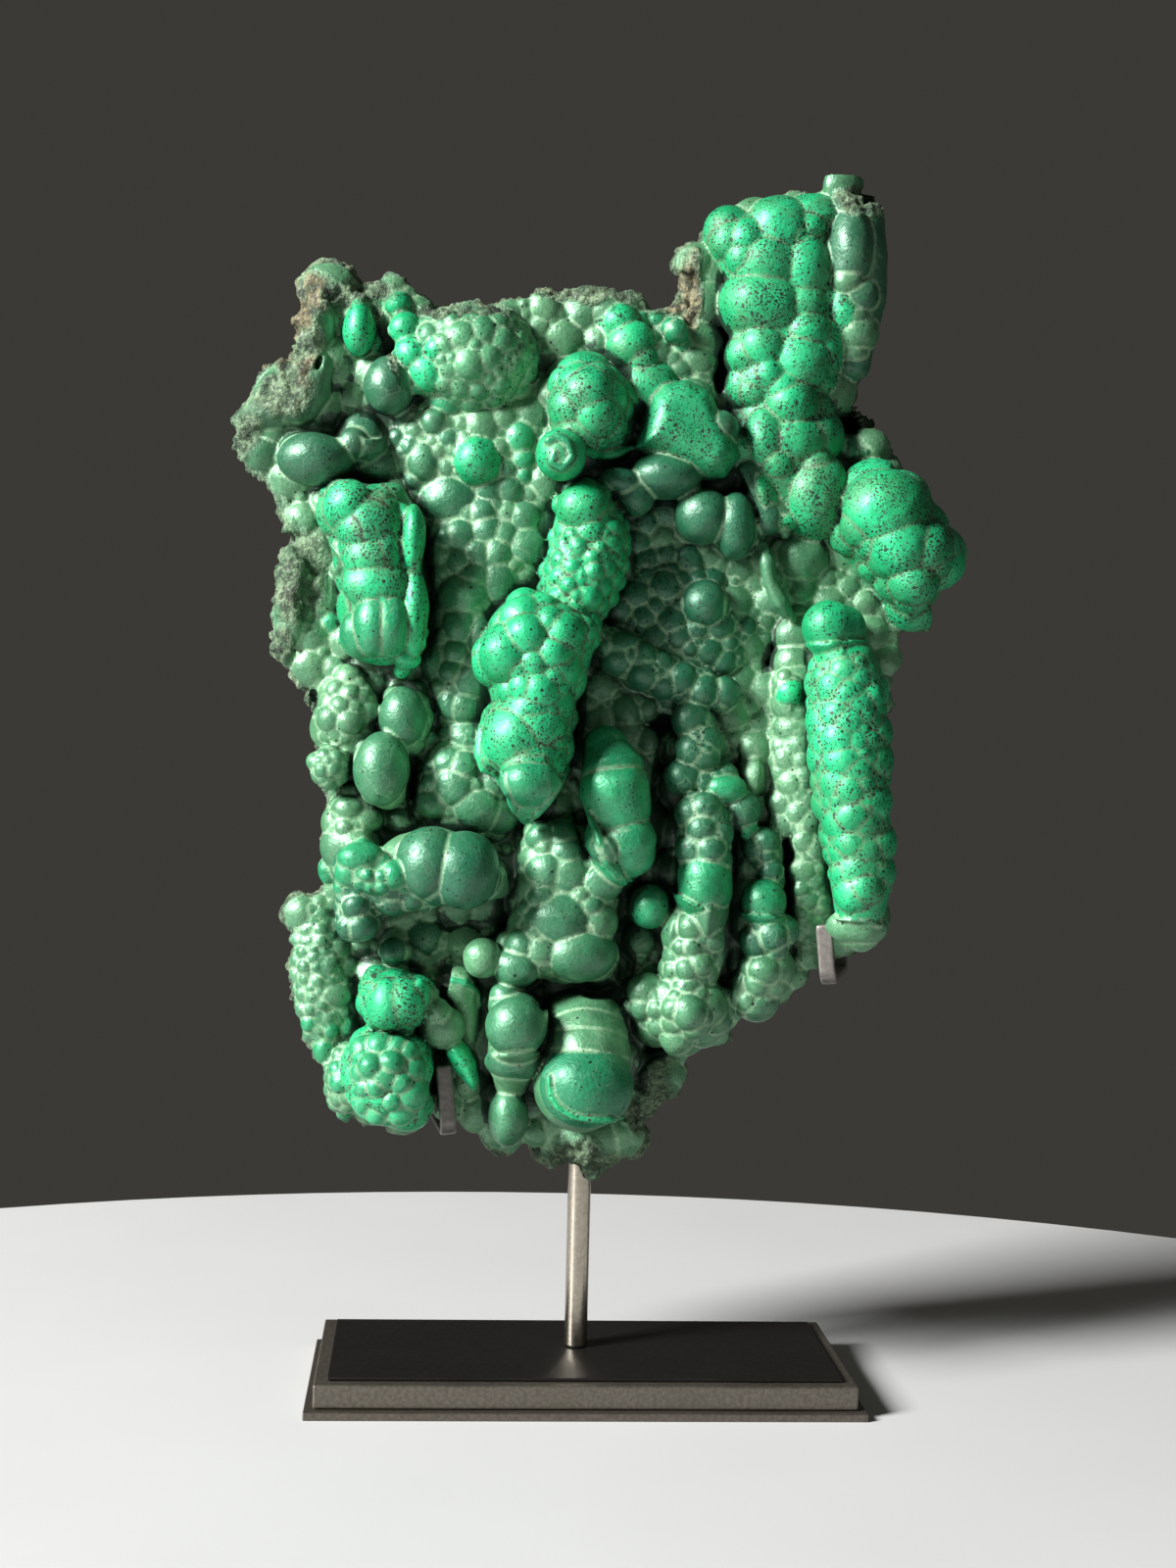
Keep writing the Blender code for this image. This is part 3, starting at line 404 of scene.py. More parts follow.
# Thin rims and ribbons: look, then points of pixel x, pixel y, lift off the surface in mm, radius in pixels
RIMS = [
    (GLOSSY, (512, 788, 1, 3), (517, 808, 1, 4), (525, 824, 1, 4), (536, 837, 1, 4), (548, 832, 1, 3.5),
     (560, 817, 1, 3.5), (572, 799, 1, 3.5), (579, 784, 0, 3)),
    (BRIGHT, (490, 745, 0, 3.5), (488, 770, 0, 4), (493, 785, 1, 4.5), (505, 791, 1, 4)),
    (GLOSSY, (602, 833, 0, 3.5), (609, 848, 1, 4), (613, 862, 1, 4), (619, 880, 1, 4), (630, 892, 1, 3.5),
     (645, 899, 0, 3)),
    (BRIGHT, (560, 1100, 1, 3), (562, 1118, 1, 3.5), (570, 1131, 1, 4), (584, 1139, 1, 4),
     (603, 1142, 1, 4), (622, 1142, 1, 4), (637, 1140, 0, 3)),
    (PLAIN, (850, 937, 1, 2.5), (868, 940, 1, 2.5), (884, 940, 1, 2.5), (898, 944, 0, 2.5)),
    (BRIGHT, (597, 460, 1, 4), (612, 466, 1, 5), (630, 463, 1, 5), (646, 456, 1, 4)),
    (PLAIN, (338, 556, 1, 3), (346, 566, 1, 3.5), (348, 578, 1, 3.5), (342, 588, 0, 3)),
    (GLOSSY, (462, 1000, 1, 3), (475, 1003, 1, 3.5), (487, 1012, 1, 3.5), (489, 1026, 0, 3)),
    (GLOSSY, (560, 450, 1, 4), (570, 446, 1, 4.5), (580, 452, 1, 4.5), (584, 466, 1, 4.5),
     (574, 478, 1, 4), (563, 472, 0, 4), (566, 462, 0, 3.5)),
]


def at(px, py, depth):
    """Point on the photo ray of a pixel at depth y, in millimetres."""
    ray = TURN @ np.array(((px - MID_X) / FOCAL_PX, 1.0, -(py - MID_Y) / FOCAL_PX))
    return CAM + ray * ((depth - CAM[1]) / ray[1])


def mm_per_px(point):
    return float((TURN.T @ (point - CAM))[1]) / FOCAL_PX


def pixels(points):
    """Photo pixels of an array of points."""
    local = (points - CAM) @ TURN
    return MID_X + FOCAL_PX * local[:, 0] / local[:, 1], MID_Y - FOCAL_PX * local[:, 2] / local[:, 1]


shape = tuple(int(v) + 1 for v in np.ceil((HIGH - LOW) / STEP))
axes = [(LOW[k] + STEP * np.arange(shape[k])).astype(np.float32) for k in range(3)]
near = np.full(shape, FAR, np.float32)
second = np.full(shape, FAR, np.float32)
owner = np.zeros(shape, np.int16)
looks = [FIELD]
tones = [0.5]


def window(low, high):
    """Grid slices and coordinates of a box in millimetres."""
    start = [max(0, int(math.floor((low[k] - LOW[k]) / STEP))) for k in range(3)]
    stop = [min(shape[k], int(math.ceil((high[k] - LOW[k]) / STEP)) + 1) for k in range(3)]
    if any(start[k] >= stop[k] for k in range(3)):
        return None, None
    cut = tuple(slice(start[k], stop[k]) for k in range(3))
    return cut, (axes[0][cut[0]][:, None, None], axes[1][cut[1]][None, :, None],
                 axes[2][cut[2]][None, None, :])


def place(cut, dist, ident):
    """Union a distance block into the field and keep the runner-up, which shows the creases."""
    best = near[cut]
    closer = dist < best
    second[cut] = np.where(closer, best, np.minimum(second[cut], dist))
    owner[cut][closer] = ident
    near[cut] = np.where(closer, dist, best)


def new_form(look):
    looks.append(look)
    tones.append(float(rng.random()))
    return len(looks) - 1


def turned(x, z, degrees):
    """Coordinates in axes turned by an angle."""
    c, s = math.cos(math.radians(degrees)), math.sin(math.radians(degrees))
    return c * x - s * z, s * x + c * z


def ellipsoid_dist(grid, centre, half, turn):
    """Rough distance to an ellipsoid turned about the Y axis."""
    u, w = turned(grid[0] - centre[0], grid[2] - centre[2], turn)
    u, v, w = u / half[0], (grid[1] - centre[1]) / half[1], w / half[2]
    k0 = np.sqrt(u * u + v * v + w * w)
    k1 = np.sqrt((u / half[0]) ** 2 + (v / half[1]) ** 2 + (w / half[2]) ** 2) + 1e-6
    return k0 * (k0 - 1.0) / k1


def ellipsoid(px, py, depth, half_x, half_z, half_y, turn, margin=2.0):
    """Grid slices and distances of an ellipsoid given in pixels, with its depth and half depth in mm."""
    centre = at(px, py, depth)
    scale = mm_per_px(centre)
    half = (half_x * scale, half_y, half_z * scale)
    wide = max(half[0], half[2])
    span = np.array((wide, half_y, wide)) + margin
    cut, grid = window(centre - span, centre + span)
    return cut, None if cut is None else ellipsoid_dist(grid, centre, half, turn).astype(np.float32)


def segment_dist(grid, a, b, ra, rb):
    """Distance to a round cone between two points."""
    ab = b - a
    dx, dy, dz = grid[0] - a[0], grid[1] - a[1], grid[2] - a[2]
    t = np.clip((dx * ab[0] + dy * ab[1] + dz * ab[2]) / max(float(ab @ ab), 1e-6), 0.0, 1.0)
    away = np.sqrt((dx - t * ab[0]) ** 2 + (dy - t * ab[1]) ** 2 + (dz - t * ab[2]) ** 2)
    return away - (ra + (rb - ra) * t)


def tubes(spots, ident, planes=()):
    """Union round cones between neighbouring spots, kept on one side of each cutting plane."""
    pairs = list(zip(spots[:-1], spots[1:])) or [(spots[0], spots[0])]
    flat_list = [end for pair in pairs for end in pair]
    low = np.min([p - r for p, r in flat_list], 0) - 3.0
    high = np.max([p + r for p, r in flat_list], 0) + 3.0
    cut, grid = window(low, high)
    if cut is None:
        return
    dist = None
    for (a, ra), (b, rb) in pairs:
        piece = segment_dist(grid, a, b, ra, rb)
        dist = piece if dist is None else np.minimum(dist, piece)
    for point, normal in planes:
        side = sum((grid[k] - point[k]) * normal[k] for k in range(3))
        dist = np.maximum(dist, side)
    place(cut, dist.astype(np.float32), ident)


def chain(points, ident, extra=0.0, planes=()):
    """Round cones through points given in pixels with a depth and a radius in pixels."""
    tubes([(at(px, py, depth), r * mm_per_px(at(px, py, depth)) + extra) for px, py, depth, r in points],
          ident, planes)


def ray_plane(line):
    """Plane through the camera and a line of the photo, with its normal away from the kept side."""
    a, b = (at(px, py, -20) for px, py in line)
    normal = np.cross(b - CAM, a - CAM)
    return a, normal / np.linalg.norm(normal)


def flat_distance(outline, depth, xs, zs):
    """Signed distance to an outline in the plane of X and Z, on a grid."""
    line = np.array([at(px, py, depth)[[0, 2]] for px, py in outline])
    gx, gz = np.meshgrid(xs, zs, indexing="ij")
    best = np.full(gx.shape, 1e9)
    inside = np.zeros(gx.shape, bool)
    for a, b in zip(line, np.roll(line, -1, 0)):
        ex, ez = b - a
        px, pz = gx - a[0], gz - a[1]
        t = np.clip((px * ex + pz * ez) / (ex * ex + ez * ez), 0, 1)
        best = np.minimum(best, (px - t * ex) ** 2 + (pz - t * ez) ** 2)
        crosses = ((a[1] <= gz) & (b[1] > gz)) | ((b[1] <= gz) & (a[1] > gz))
        inside ^= crosses & (px < pz * ex / (ez if abs(ez) > 1e-9 else 1e-9))
    return np.sqrt(best) * np.where(inside, -1.0, 1.0)


def pad(look, rim, height, width, lean, outline):
    """A form with a domed front inside an outline, running back into the plate."""
    corners = np.array([at(px, py, rim - 0.5 * height) for px, py in outline])
    low, high = corners.min(0) - 3.0, corners.max(0) + 3.0
    low[1], high[1] = rim - height - 12.0, 4.0
    cut, grid = window(low, high)
    inner = flat_distance(outline, rim - 0.5 * height, grid[0].ravel(), grid[2].ravel())
    middle = 0.5 * (corners[:, 2].min() + corners[:, 2].max())
    share = np.clip(-inner / width, 0, 1)
    tilt = lean * (grid[2].ravel()[None, :] - middle) * np.sqrt(share)
    front = rim - height * np.sqrt(1 - (1 - share) ** 2) + tilt
    slope = np.hypot(*np.gradient(front, STEP))
    slope = np.minimum(slope, 2.5)
    dist = (front[:, None, :] - grid[1]) / np.sqrt(1 + slope * slope)[:, None, :]
    dist = np.maximum(np.maximum(dist, inner[:, None, :]), grid[1] - 3.0)
    place(cut, dist.astype(np.float32), new_form(look))


def plate():
    """The plate: the outline's flat distance, thickened between its faces with rounded edges."""
    flat = flat_distance(OUTLINE, -4.0, axes[0], axes[2])
    middle, half, rounding = 5.0, 14.0, 5.0
    q1 = (flat + rounding)[:, None, :]
    q2 = (np.abs(axes[1] - middle) - half + rounding)[None, :, None]
    outside = np.sqrt(np.maximum(q1, 0) ** 2 + np.maximum(q2, 0) ** 2)
    dist = np.minimum(np.maximum(q1, q2), 0) + outside - rounding
    place((slice(None),) * 3, dist.astype(np.float32), 0)
    return flat


def carve(*pit):
    cut, dist = ellipsoid(*pit)
    if cut is not None:
        near[cut] = np.maximum(near[cut], -dist)


CORNERS = [(a, b, c) for a in (0, 1) for b in (0, 1) for c in (0, 1)]


def blend(value, share):
    """Trilinear blend of the values at a cell's corners, by the share of the way through the cell."""
    out = 0
    for a, b, c in CORNERS:
        w = np.abs(1 - a - share[:, 0]) * np.abs(1 - b - share[:, 1]) * np.abs(1 - c - share[:, 2])
        out = out + w * value(a, b, c)
    return out


def sample(field, points):
    """Trilinear sample of a field at points."""
    g = (points - LOW) / STEP
    i = np.clip(np.floor(g).astype(int), 0, np.array(shape) - 2)
    return blend(lambda a, b, c: field[i[:, 0] + a, i[:, 1] + b, i[:, 2] + c], np.clip(g - i, 0, 1))


def slopes(points, span):
    """Outward unit normals at points."""
    out = np.stack([sample(near, points + e) - sample(near, points - e) for e in np.eye(3) * span], 1)
    return out / (np.linalg.norm(out, axis=1, keepdims=True) + 1e-6)


# Depths tried along photo rays, in millimetres
PROBE_STEP = 0.5
PROBES = np.arange(-64.0, 18.0, PROBE_STEP)


def seen(spots_px, fallback=-8.0):
    """Where photo rays first meet the stone, in mm. A ray that passes it ends at the fallback depth."""
    a = np.array([at(px, py, 0.0) for px, py in spots_px])
    ray = (a - CAM) / (a - CAM)[:, 1:2]
    grid = CAM + ray[:, None, :] * (PROBES - CAM[1])[None, :, None]
    values = sample(near, grid.reshape(-1, 3)).reshape(len(a), -1)
    hit = values < 0
    first = np.where(hit.any(1), hit.argmax(1), 0)
    row = np.arange(len(a))
    before, after = values[row, np.maximum(first - 1, 0)], values[row, first]
    depth = PROBES[first] - PROBE_STEP * np.clip(after / np.minimum(after - before, -1e-6), 0, 1)
    depth = np.where(hit.any(1), depth, fallback)
    return CAM + ray * (depth - CAM[1])[:, None]


# Cells: box of the search in mm, spacing over their sizes, foot over radius for the listed cells, and the
# sizes tried in turn over the size in the look
taken = {}
HASH = 14.0
PACKING = 0.62
OVERLAP = 1.2
SHRINKING = (1.5, 1.3, 1.1, 1.1, 0.9, 0.9, 0.7, 0.7, 0.5, 0.5, 0.4)


def remember(point, size):
    taken.setdefault(tuple(int(v) for v in np.floor(point / HASH)), []).append((point, size))


def is_clear(p, size, share):
    base = [int(v) for v in np.floor(p / HASH)]
    for i in range(base[0] - 1, base[0] + 2):
        for j in range(base[1] - 1, base[1] + 2):
            for k in range(base[2] - 1, base[2] + 2):
                for q, t in taken.get((i, j, k), ()):
                    gap = share * (size + t)
                    if (p[0] - q[0]) ** 2 + (p[1] - q[1]) ** 2 + (p[2] - q[2]) ** 2 < gap * gap:
                        return False
    return True


def drops(points, facing, sizes):
    """How far the surface falls away around each point at the given distances, from its own curve."""
    side = np.cross(facing, (0.31, 0.87, 0.38))
    side /= np.linalg.norm(side, axis=1, keepdims=True) + 1e-6
    other = np.cross(facing, side)
    falls = []
    for k in range(8):
        step = side * math.cos(k * math.pi / 4) + other * math.sin(k * math.pi / 4)
        falls.append(sample(near, points + step * np.asarray(sizes)[:, None]))
    falls = np.sort(np.clip(np.array(falls), 0, None), 0)
    return np.minimum(falls[3:7].mean(0), 0.55 * np.asarray(sizes))


def cap(point, normal, size, rise, ident, stretch=1.0, drop=0.0):
    """A ball whose cap stands out of the surface with a foot radius and a rise, and falls off with it."""
    rise = min(rise, 0.95 * size)
    bulge = rise + drop
    radius = (size * size + bulge * bulge) / (2 * bulge)
    centre = point + normal * (rise - radius)
    reach = min(radius + 2.0, size * 1.45 + 2.0) * max(stretch, 1 / stretch) ** 0.5
    cut, grid = window(point - reach, point + reach)
    if cut is None:
        return
    wide, tall = stretch ** 0.5, stretch ** -0.5
    u, v, w = (grid[0] - centre[0]) / wide, grid[1] - centre[1], (grid[2] - centre[2]) / tall
    dist = np.sqrt(u * u + v * v + w * w) - radius
    u, v, w = (grid[0] - point[0]) / wide, grid[1] - point[1], (grid[2] - point[2]) / tall
    dist = np.maximum(dist, np.sqrt(u * u + v * v + w * w) - 1.25 * size)
    place(cut, dist.astype(np.float32), ident)


def in_pits(points):
    """How far points lie inside the carved hollows."""
    out = np.zeros(len(points))
    for px, py, depth, half_x, half_z, half_y, turn in PITS:
        centre = at(px, py, depth)
        scale = mm_per_px(centre)
        away = points - centre
        u, w = turned(away[:, 0], away[:, 2], turn)
        u, v, w = u / (half_x * scale), away[:, 1] / half_y, w / (half_z * scale)
        out = np.maximum(out, np.clip((1.30 - np.sqrt(u * u + w * w + v * v)) * 4.0, 0, 1))
    return out


class Noise:
    """Smooth value noise on a random lattice."""

    def __init__(self, seed):
        self.lattice = np.random.default_rng(seed).random((32, 32, 32)).astype(np.float32) * 2 - 1

    def __call__(self, points, size):
        g = points / size
        i = np.floor(g).astype(int)
        f = g - i
        f = f * f * (3 - 2 * f)
        ends = i & 31, (i + 1) & 31
        return blend(lambda a, b, c: self.lattice[ends[a][:, 0], ends[b][:, 1], ends[c][:, 2]], f)


noise = Noise(3)
JITTER = np.random.default_rng(11).random((32, 32, 32, 3))


def crumbs(points, size):
    """Distance to the nearest of jittered spots, over their spacing: sharp valleys between crumbs."""
    g = points / size
    base = np.floor(g).astype(int)
    best = np.full(len(points), 9.0)
    for i in (-1, 0, 1):
        for j in (-1, 0, 1):
            for k in (-1, 0, 1):
                cell = base + (i, j, k)
                spot = cell + JITTER[cell[:, 0] & 31, cell[:, 1] & 31, cell[:, 2] & 31]
                best = np.minimum(best, ((spot - g) ** 2).sum(1))
    return np.sqrt(best)


def brokenness(points):
    """How far points lie on broken stone: the patches above, the plate's edge, its back. Then the tan."""
    px, py = pixels(points)
    wobble = noise(points, 6.0) * 0.35
    out = np.zeros(len(points))
    tan = np.full(len(points), 0.12)
    for x, y, half_x, half_y, turn, brown in BROKEN:
        u, v = turned(px - x, py - y, -turn)
        level = 1.0 - np.sqrt((u / half_x) ** 2 + (v / half_y) ** 2) + wobble
        out = np.maximum(out, np.clip(level * 2.2, 0, 1))
        tan = np.where(level > 0, brown, tan)
    out *= points[:, 1] > -21
    gi = np.clip(((points[:, 0] - LOW[0]) / STEP).astype(int), 0, shape[0] - 1)
    gk = np.clip(((points[:, 2] - LOW[2]) / STEP).astype(int), 0, shape[2] - 1)
    behind = np.clip((points[:, 1] + 9.0) / 3.0, 0, 1)
    edge = np.clip((flat[gi, gk] + 3.2 + wobble * 5) / 2.0, 0, 1) * behind
    return np.maximum(np.maximum(out, edge), np.clip((points[:, 1] - 3.0 + wobble * 6) / 3.0, 0, 1)), tan


# Stone stays bare past these shares of broken stone and of a pit, and behind this depth in millimetres
BARE_BROKEN, BARE_PIT, BARE_FROM = 0.35, 0.5, 7.0


def scatter(sizes, share):
    """Cover the forms with cells of the size in their look, large ones first."""
    idx = np.argwhere(np.abs(near) < STEP * 0.55)
    spots = LOW + idx * STEP
    parents = owner[tuple(idx.T)]
    table = np.array(looks, np.float32)
    base = table[parents, 0] * LOOSE_SCALE
    base = np.where((brokenness(spots)[0] < BARE_BROKEN) & (in_pits(spots) < BARE_PIT), base, 0.0)
    use = (base > 0.4) & (spots[:, 1] < BARE_FROM)
    least = np.where(table[parents, 2] > 0.98, 0.6, 0.4)
    spots, base, parents, least = spots[use], base[use], parents[use], least[use]
    rises = table[parents, 1]
    normals = slopes(spots, 2 * STEP)
    chosen = []
    for scale in sizes:
        keys = np.floor((spots + rng.random(3) * 40) / (base[:, None] * scale * 0.9)).astype(np.int64)
        code = keys @ np.array((1000003, 10007, 101)) + (base * 10).astype(np.int64) * 7919
        order = rng.permutation(len(code))
        _, first = np.unique(code[order], return_index=True)
        for n in order[first]:
            size = float(base[n] * scale * (0.88 + 0.24 * rng.random()))
            if scale >= least[n] and is_clear(spots[n], size, share):
                remember(spots[n], size)
                chosen.append((n, size))
    rows = np.array([n for n, _ in chosen])
    everyone = np.array([(*point, size) for group in taken.values() for point, size in group])
    sizes = np.array([size for _, size in chosen])
    feet = np.empty(len(rows))
    for start in range(0, len(rows), 500):
        block = slice(start, start + 500)
        away = np.linalg.norm(spots[rows[block], None, :] - everyone[None, :, :3], axis=2)
        share_of = sizes[block, None] / (sizes[block, None] + everyone[None, :, 3])
        order = np.sort(np.where(away < 1e-6, 1e9, away) * share_of, 1)
        feet[block] = 1.34 * order[:, :5].mean(1)
    feet = np.clip(feet, 0.8 * sizes, 1.6 * sizes)
    falls = drops(spots[rows], normals[rows], feet)
    for n, size, fall in zip(rows, feet, falls):
        rise = float(rises[n]) * size * (0.8 + 0.4 * rng.random())
        cap(spots[n], normals[n], size, rise, new_form(looks[parents[n]]), 1.0, min(fall, 0.30 * size))


flat = plate()
for look, *form in MASSES:
    place(*ellipsoid(*form, margin=3.0), new_form(look))
for look, *points in FINGERS:
    ident = new_form(look)
    chain(points, ident)
    for px, py, depth, r in points:
        if depth < -14:
            chain([(px, py, depth, 0.8 * r), (px, py, -6, 0.75 * r)], ident)
for look, rim, height, width, lean, *outline in PADS:
    pad(look, rim, height, width, lean, outline)
for pit in PITS + SCOOPS:
    carve(*pit)
for height in HOLLOW_Z:
    cut, grid = window(np.array((-30.0, -4.0, height - 16)), np.array((27.0, 31.0, height + 16)))
    if cut is not None:
        hollow = ellipsoid_dist(grid, (POST_X, HOLLOW_Y, height), HOLLOW_HALF, 0)
        near[cut] = np.maximum(near[cut], -hollow.astype(np.float32))
for look, thick, cuts, points in LAYERS:
    chain(points, new_form(look), extra=thick * 0.4, planes=[ray_plane(line) for line in cuts])

listed = [(look, rise, cell) for look, rise, *cells in CELLS for cell in cells]
centres = seen([cell[:2] for _, _, cell in listed])
facing = slopes(centres, 3.0)
feet = [math.sqrt(cell[2] * cell[-1]) * SET_SCALE for _, _, cell in listed]
falls = drops(centres, facing, OVERLAP * np.array(feet))
for (look, rise, cell), centre, normal, size, fall in zip(listed, centres, facing, feet, falls):
    remember(centre, size / PACKING)
    bare = new_form((0, 0.0, *look[2:]))
    cap(centre, normal, OVERLAP * size, rise * size, bare, cell[2] / cell[-1], fall)
scatter(SHRINKING, PACKING)


def lifted(points):
    """Spots that follow the stone's surface in front of the photo, each raised by its lift."""
    around = ((0, 0), (4, 0), (-4, 0), (0, -4), (0, 4))
    near_px = [(px + dx, py + dy) for px, py, *_ in points for dx, dy in around]
    found = seen(near_px, 10.0)[:, 1].reshape(-1, 5)
    depth = np.sort(found, 1)[:, 1]
    smooth = np.array([np.median(depth[max(0, n - 1):n + 2]) for n in range(len(depth))])
    depth = np.minimum(0.5 * (depth + smooth), 0.0)
    return [at(p[0], p[1], d - p[2]) for p, d in zip(points, depth)]


ribbons = []
for look, *points in RIMS:
    points = [(px, py, 0.4 * lift - 0.1 * r, r) for px, py, lift, r in points]
    ribbons.append((look, [(spot, p[3] * SET_SCALE) for spot, p in zip(lifted(points), points)]))
for look, line in ribbons:
    tubes(line, new_form(look))

# Clear the armature by a small gap
cut, grid = window(np.array((-10.0, -10.0, 60.0)), np.array((10.0, 16.0, POST_TOP + 8)))
tube = np.sqrt((grid[0] - POST_X) ** 2 + (grid[1] - POST_Y) ** 2) - POST_R - GAP
tube = np.maximum(tube, grid[2] - POST_TOP - GAP)
near[cut] = np.maximum(near[cut], -tube.astype(np.float32))


def surface_net():
    """Mesh the zero level: a vertex in each cell the surface crosses, a quad for each crossed grid edge."""
    inside = near < 0
    count = np.zeros(tuple(v - 1 for v in shape), np.uint8)
    for i, j, k in CORNERS:
        count += inside[i:shape[0] - 1 + i, j:shape[1] - 1 + j, k:shape[2] - 1 + k]
    cells = np.argwhere((count > 0) & (count < 8))
    total = np.zeros((len(cells), 3), np.float32)
    hits = np.zeros(len(cells), np.float32)
    for a in CORNERS:
        for axis in range(3):
            if a[axis] == 1:
                continue
            b = list(a)
            b[axis] = 1
            fa = near[tuple((cells + a).T)]
            fb = near[tuple((cells + b).T)]
            crossed = (fa < 0) != (fb < 0)
            t = np.where(crossed, fa / np.where(crossed, fa - fb, 1.0), 0.0)
            spot = np.array(a, np.float32)[None, :].repeat(len(cells), 0)
            spot[:, axis] = t
            total += spot * crossed[:, None]
            hits += crossed
    verts = LOW + (cells + total / hits[:, None]) * STEP
    number = np.full(count.shape, -1, np.int32)
    number[tuple(cells.T)] = np.arange(len(cells))
    quads = []
    for axis in range(3):
        lead, trail = [slice(1, -1)] * 3, [slice(1, -1)] * 3
        lead[axis], trail[axis] = slice(0, -1), slice(1, None)
        a, b = inside[tuple(lead)], inside[tuple(trail)]
        edges = np.argwhere(a != b)
        solid_first = a[tuple(edges.T)]
        offset = np.ones(3, int)
        offset[axis] = 0
        edges = edges + offset
        du, dv = np.zeros(3, int), np.zeros(3, int)
        du[(axis + 1) % 3], dv[(axis + 2) % 3] = 1, 1
        ring = [edges - du - dv, edges - dv, edges, edges - du]
        ring = np.stack([number[tuple(r.T)] for r in ring], 1)
        ring[~solid_first] = ring[~solid_first][:, ::-1]
        quads.append(ring)
    return verts, np.concatenate(quads)


def largest(verts, quads):
    """Drop floating crumbs: keep the connected part with most vertices."""
    label = np.arange(len(verts))
    while True:
        low = label[quads].min(1)
        fresh = label.copy()
        for k in range(4):
            np.minimum.at(fresh, quads[:, k], low)
        fresh = fresh[fresh]
        if np.array_equal(fresh, label):
            break
        label = fresh
    keep = label == np.bincount(label).argmax()
    renumber = np.cumsum(keep) - 1
    return verts[keep], renumber[quads[keep[quads[:, 0]]]]


def crowding(points, block=3, span=2):
    """How much of the space around points is stone, from a blurred coarse grid."""
    cut = [v // block * block for v in shape]
    full = (near[:cut[0], :cut[1], :cut[2]] < 0).astype(np.float32)
    boxes = [count for v in cut for count in (v // block, block)]
    full = full.reshape(boxes).mean((1, 3, 5))
    for _ in (0, 1):
        for axis in range(3):
            pad_by = [(span, span) if k == axis else (0, 0) for k in range(3)]
            wide = np.pad(full, pad_by)
            size = full.shape[axis]
            taps = 2 * span + 1
            full = sum(np.take(wide, range(k, k + size), axis) for k in range(taps)) / taps
    spot = np.rint((points - LOW) / (STEP * block) - 0.5).astype(int)
    spot = np.clip(spot, 0, np.array(full.shape) - 1)
    return full[tuple(spot.T)]


verts, quads = largest(*surface_net())
nearest = np.clip(np.rint((verts - LOW) / STEP).astype(int), 0, np.array(shape) - 1)
who = owner[tuple(nearest.T)]
table = np.array(looks, np.float32)
gap = second - near
here = sample(gap, verts)
steps = [np.maximum(*(np.abs(sample(gap, verts + side * e) - here) for side in (-1, 1))) for e in np.eye(3)]
crease = np.clip(here / np.clip(np.linalg.norm(steps, axis=0), 0.2, 2.0), 0, 2)
normals = slopes(verts, STEP)
# Painted shade: the more stone crowds around a vertex, the darker its colour, and darker still inside the
# pits
hollow_shade = crowding(verts + normals * 4.0)
hollow_shade = np.maximum(hollow_shade, 0.60 * in_pits(verts) * np.clip((hollow_shade - 0.26) * 10, 0, 1))
rough, tan = brokenness(verts)

# Rough stone is displaced, and the whole stone swells a little so that no cell is a perfect ball
crag = noise(verts, 9.0) * 1.2 - 0.4
for size, height in ((6.5, 2.6), (3.6, 2.2), (2.2, 1.3)):
    crag = crag + (0.45 - crumbs(verts, size)) * height * np.clip(0.8 + noise(verts - size, 11.0), 0.1, 1.4)
swell = noise(verts + 20, 8.0) * 0.45 + noise(verts + 70, 4.0) * 0.15
push = crag * rough + swell
from_post = np.hypot(verts[:, 0] - POST_X, verts[:, 1] - POST_Y)
push = np.where((from_post < 9) & (verts[:, 2] < POST_TOP + 6), np.minimum(push, 0), push)
verts = verts + normals * push[:, None]
fresh, speck, dark = table[who, 2], table[who, 3], table[who, 4]
tone = np.array(tones)[who]

# Split into pieces along the creases, so that no seam shows: where to split in millimetres, the number of
# vertices from which a form is split itself, and the share of faces that the hidden back keeps
SPLIT_X, SPLIT_LEVELS, BACK_FROM = -8.0, (190.0, 280.0), 4.0
LARGE_FORM = 30000
BACK_FACES_KEPT = 0.35
count = np.bincount(who, minlength=len(looks)).astype(float)
home = np.stack([np.bincount(who, weights=verts[:, k], minlength=len(looks)) for k in range(3)], 1)
home /= np.maximum(count, 1)[:, None]
spot = np.where((count[who] < LARGE_FORM)[:, None], home[who], verts)
level = np.digitize(spot[:, 2], SPLIT_LEVELS)
PIECES = ["right_low", "right_middle", "right_high", "left_low", "left_middle", "left_high", "back"]
part_of = np.where(spot[:, 1] > BACK_FROM, 6, (spot[:, 0] < SPLIT_X) * 3 + level)[quads[:, 0]]


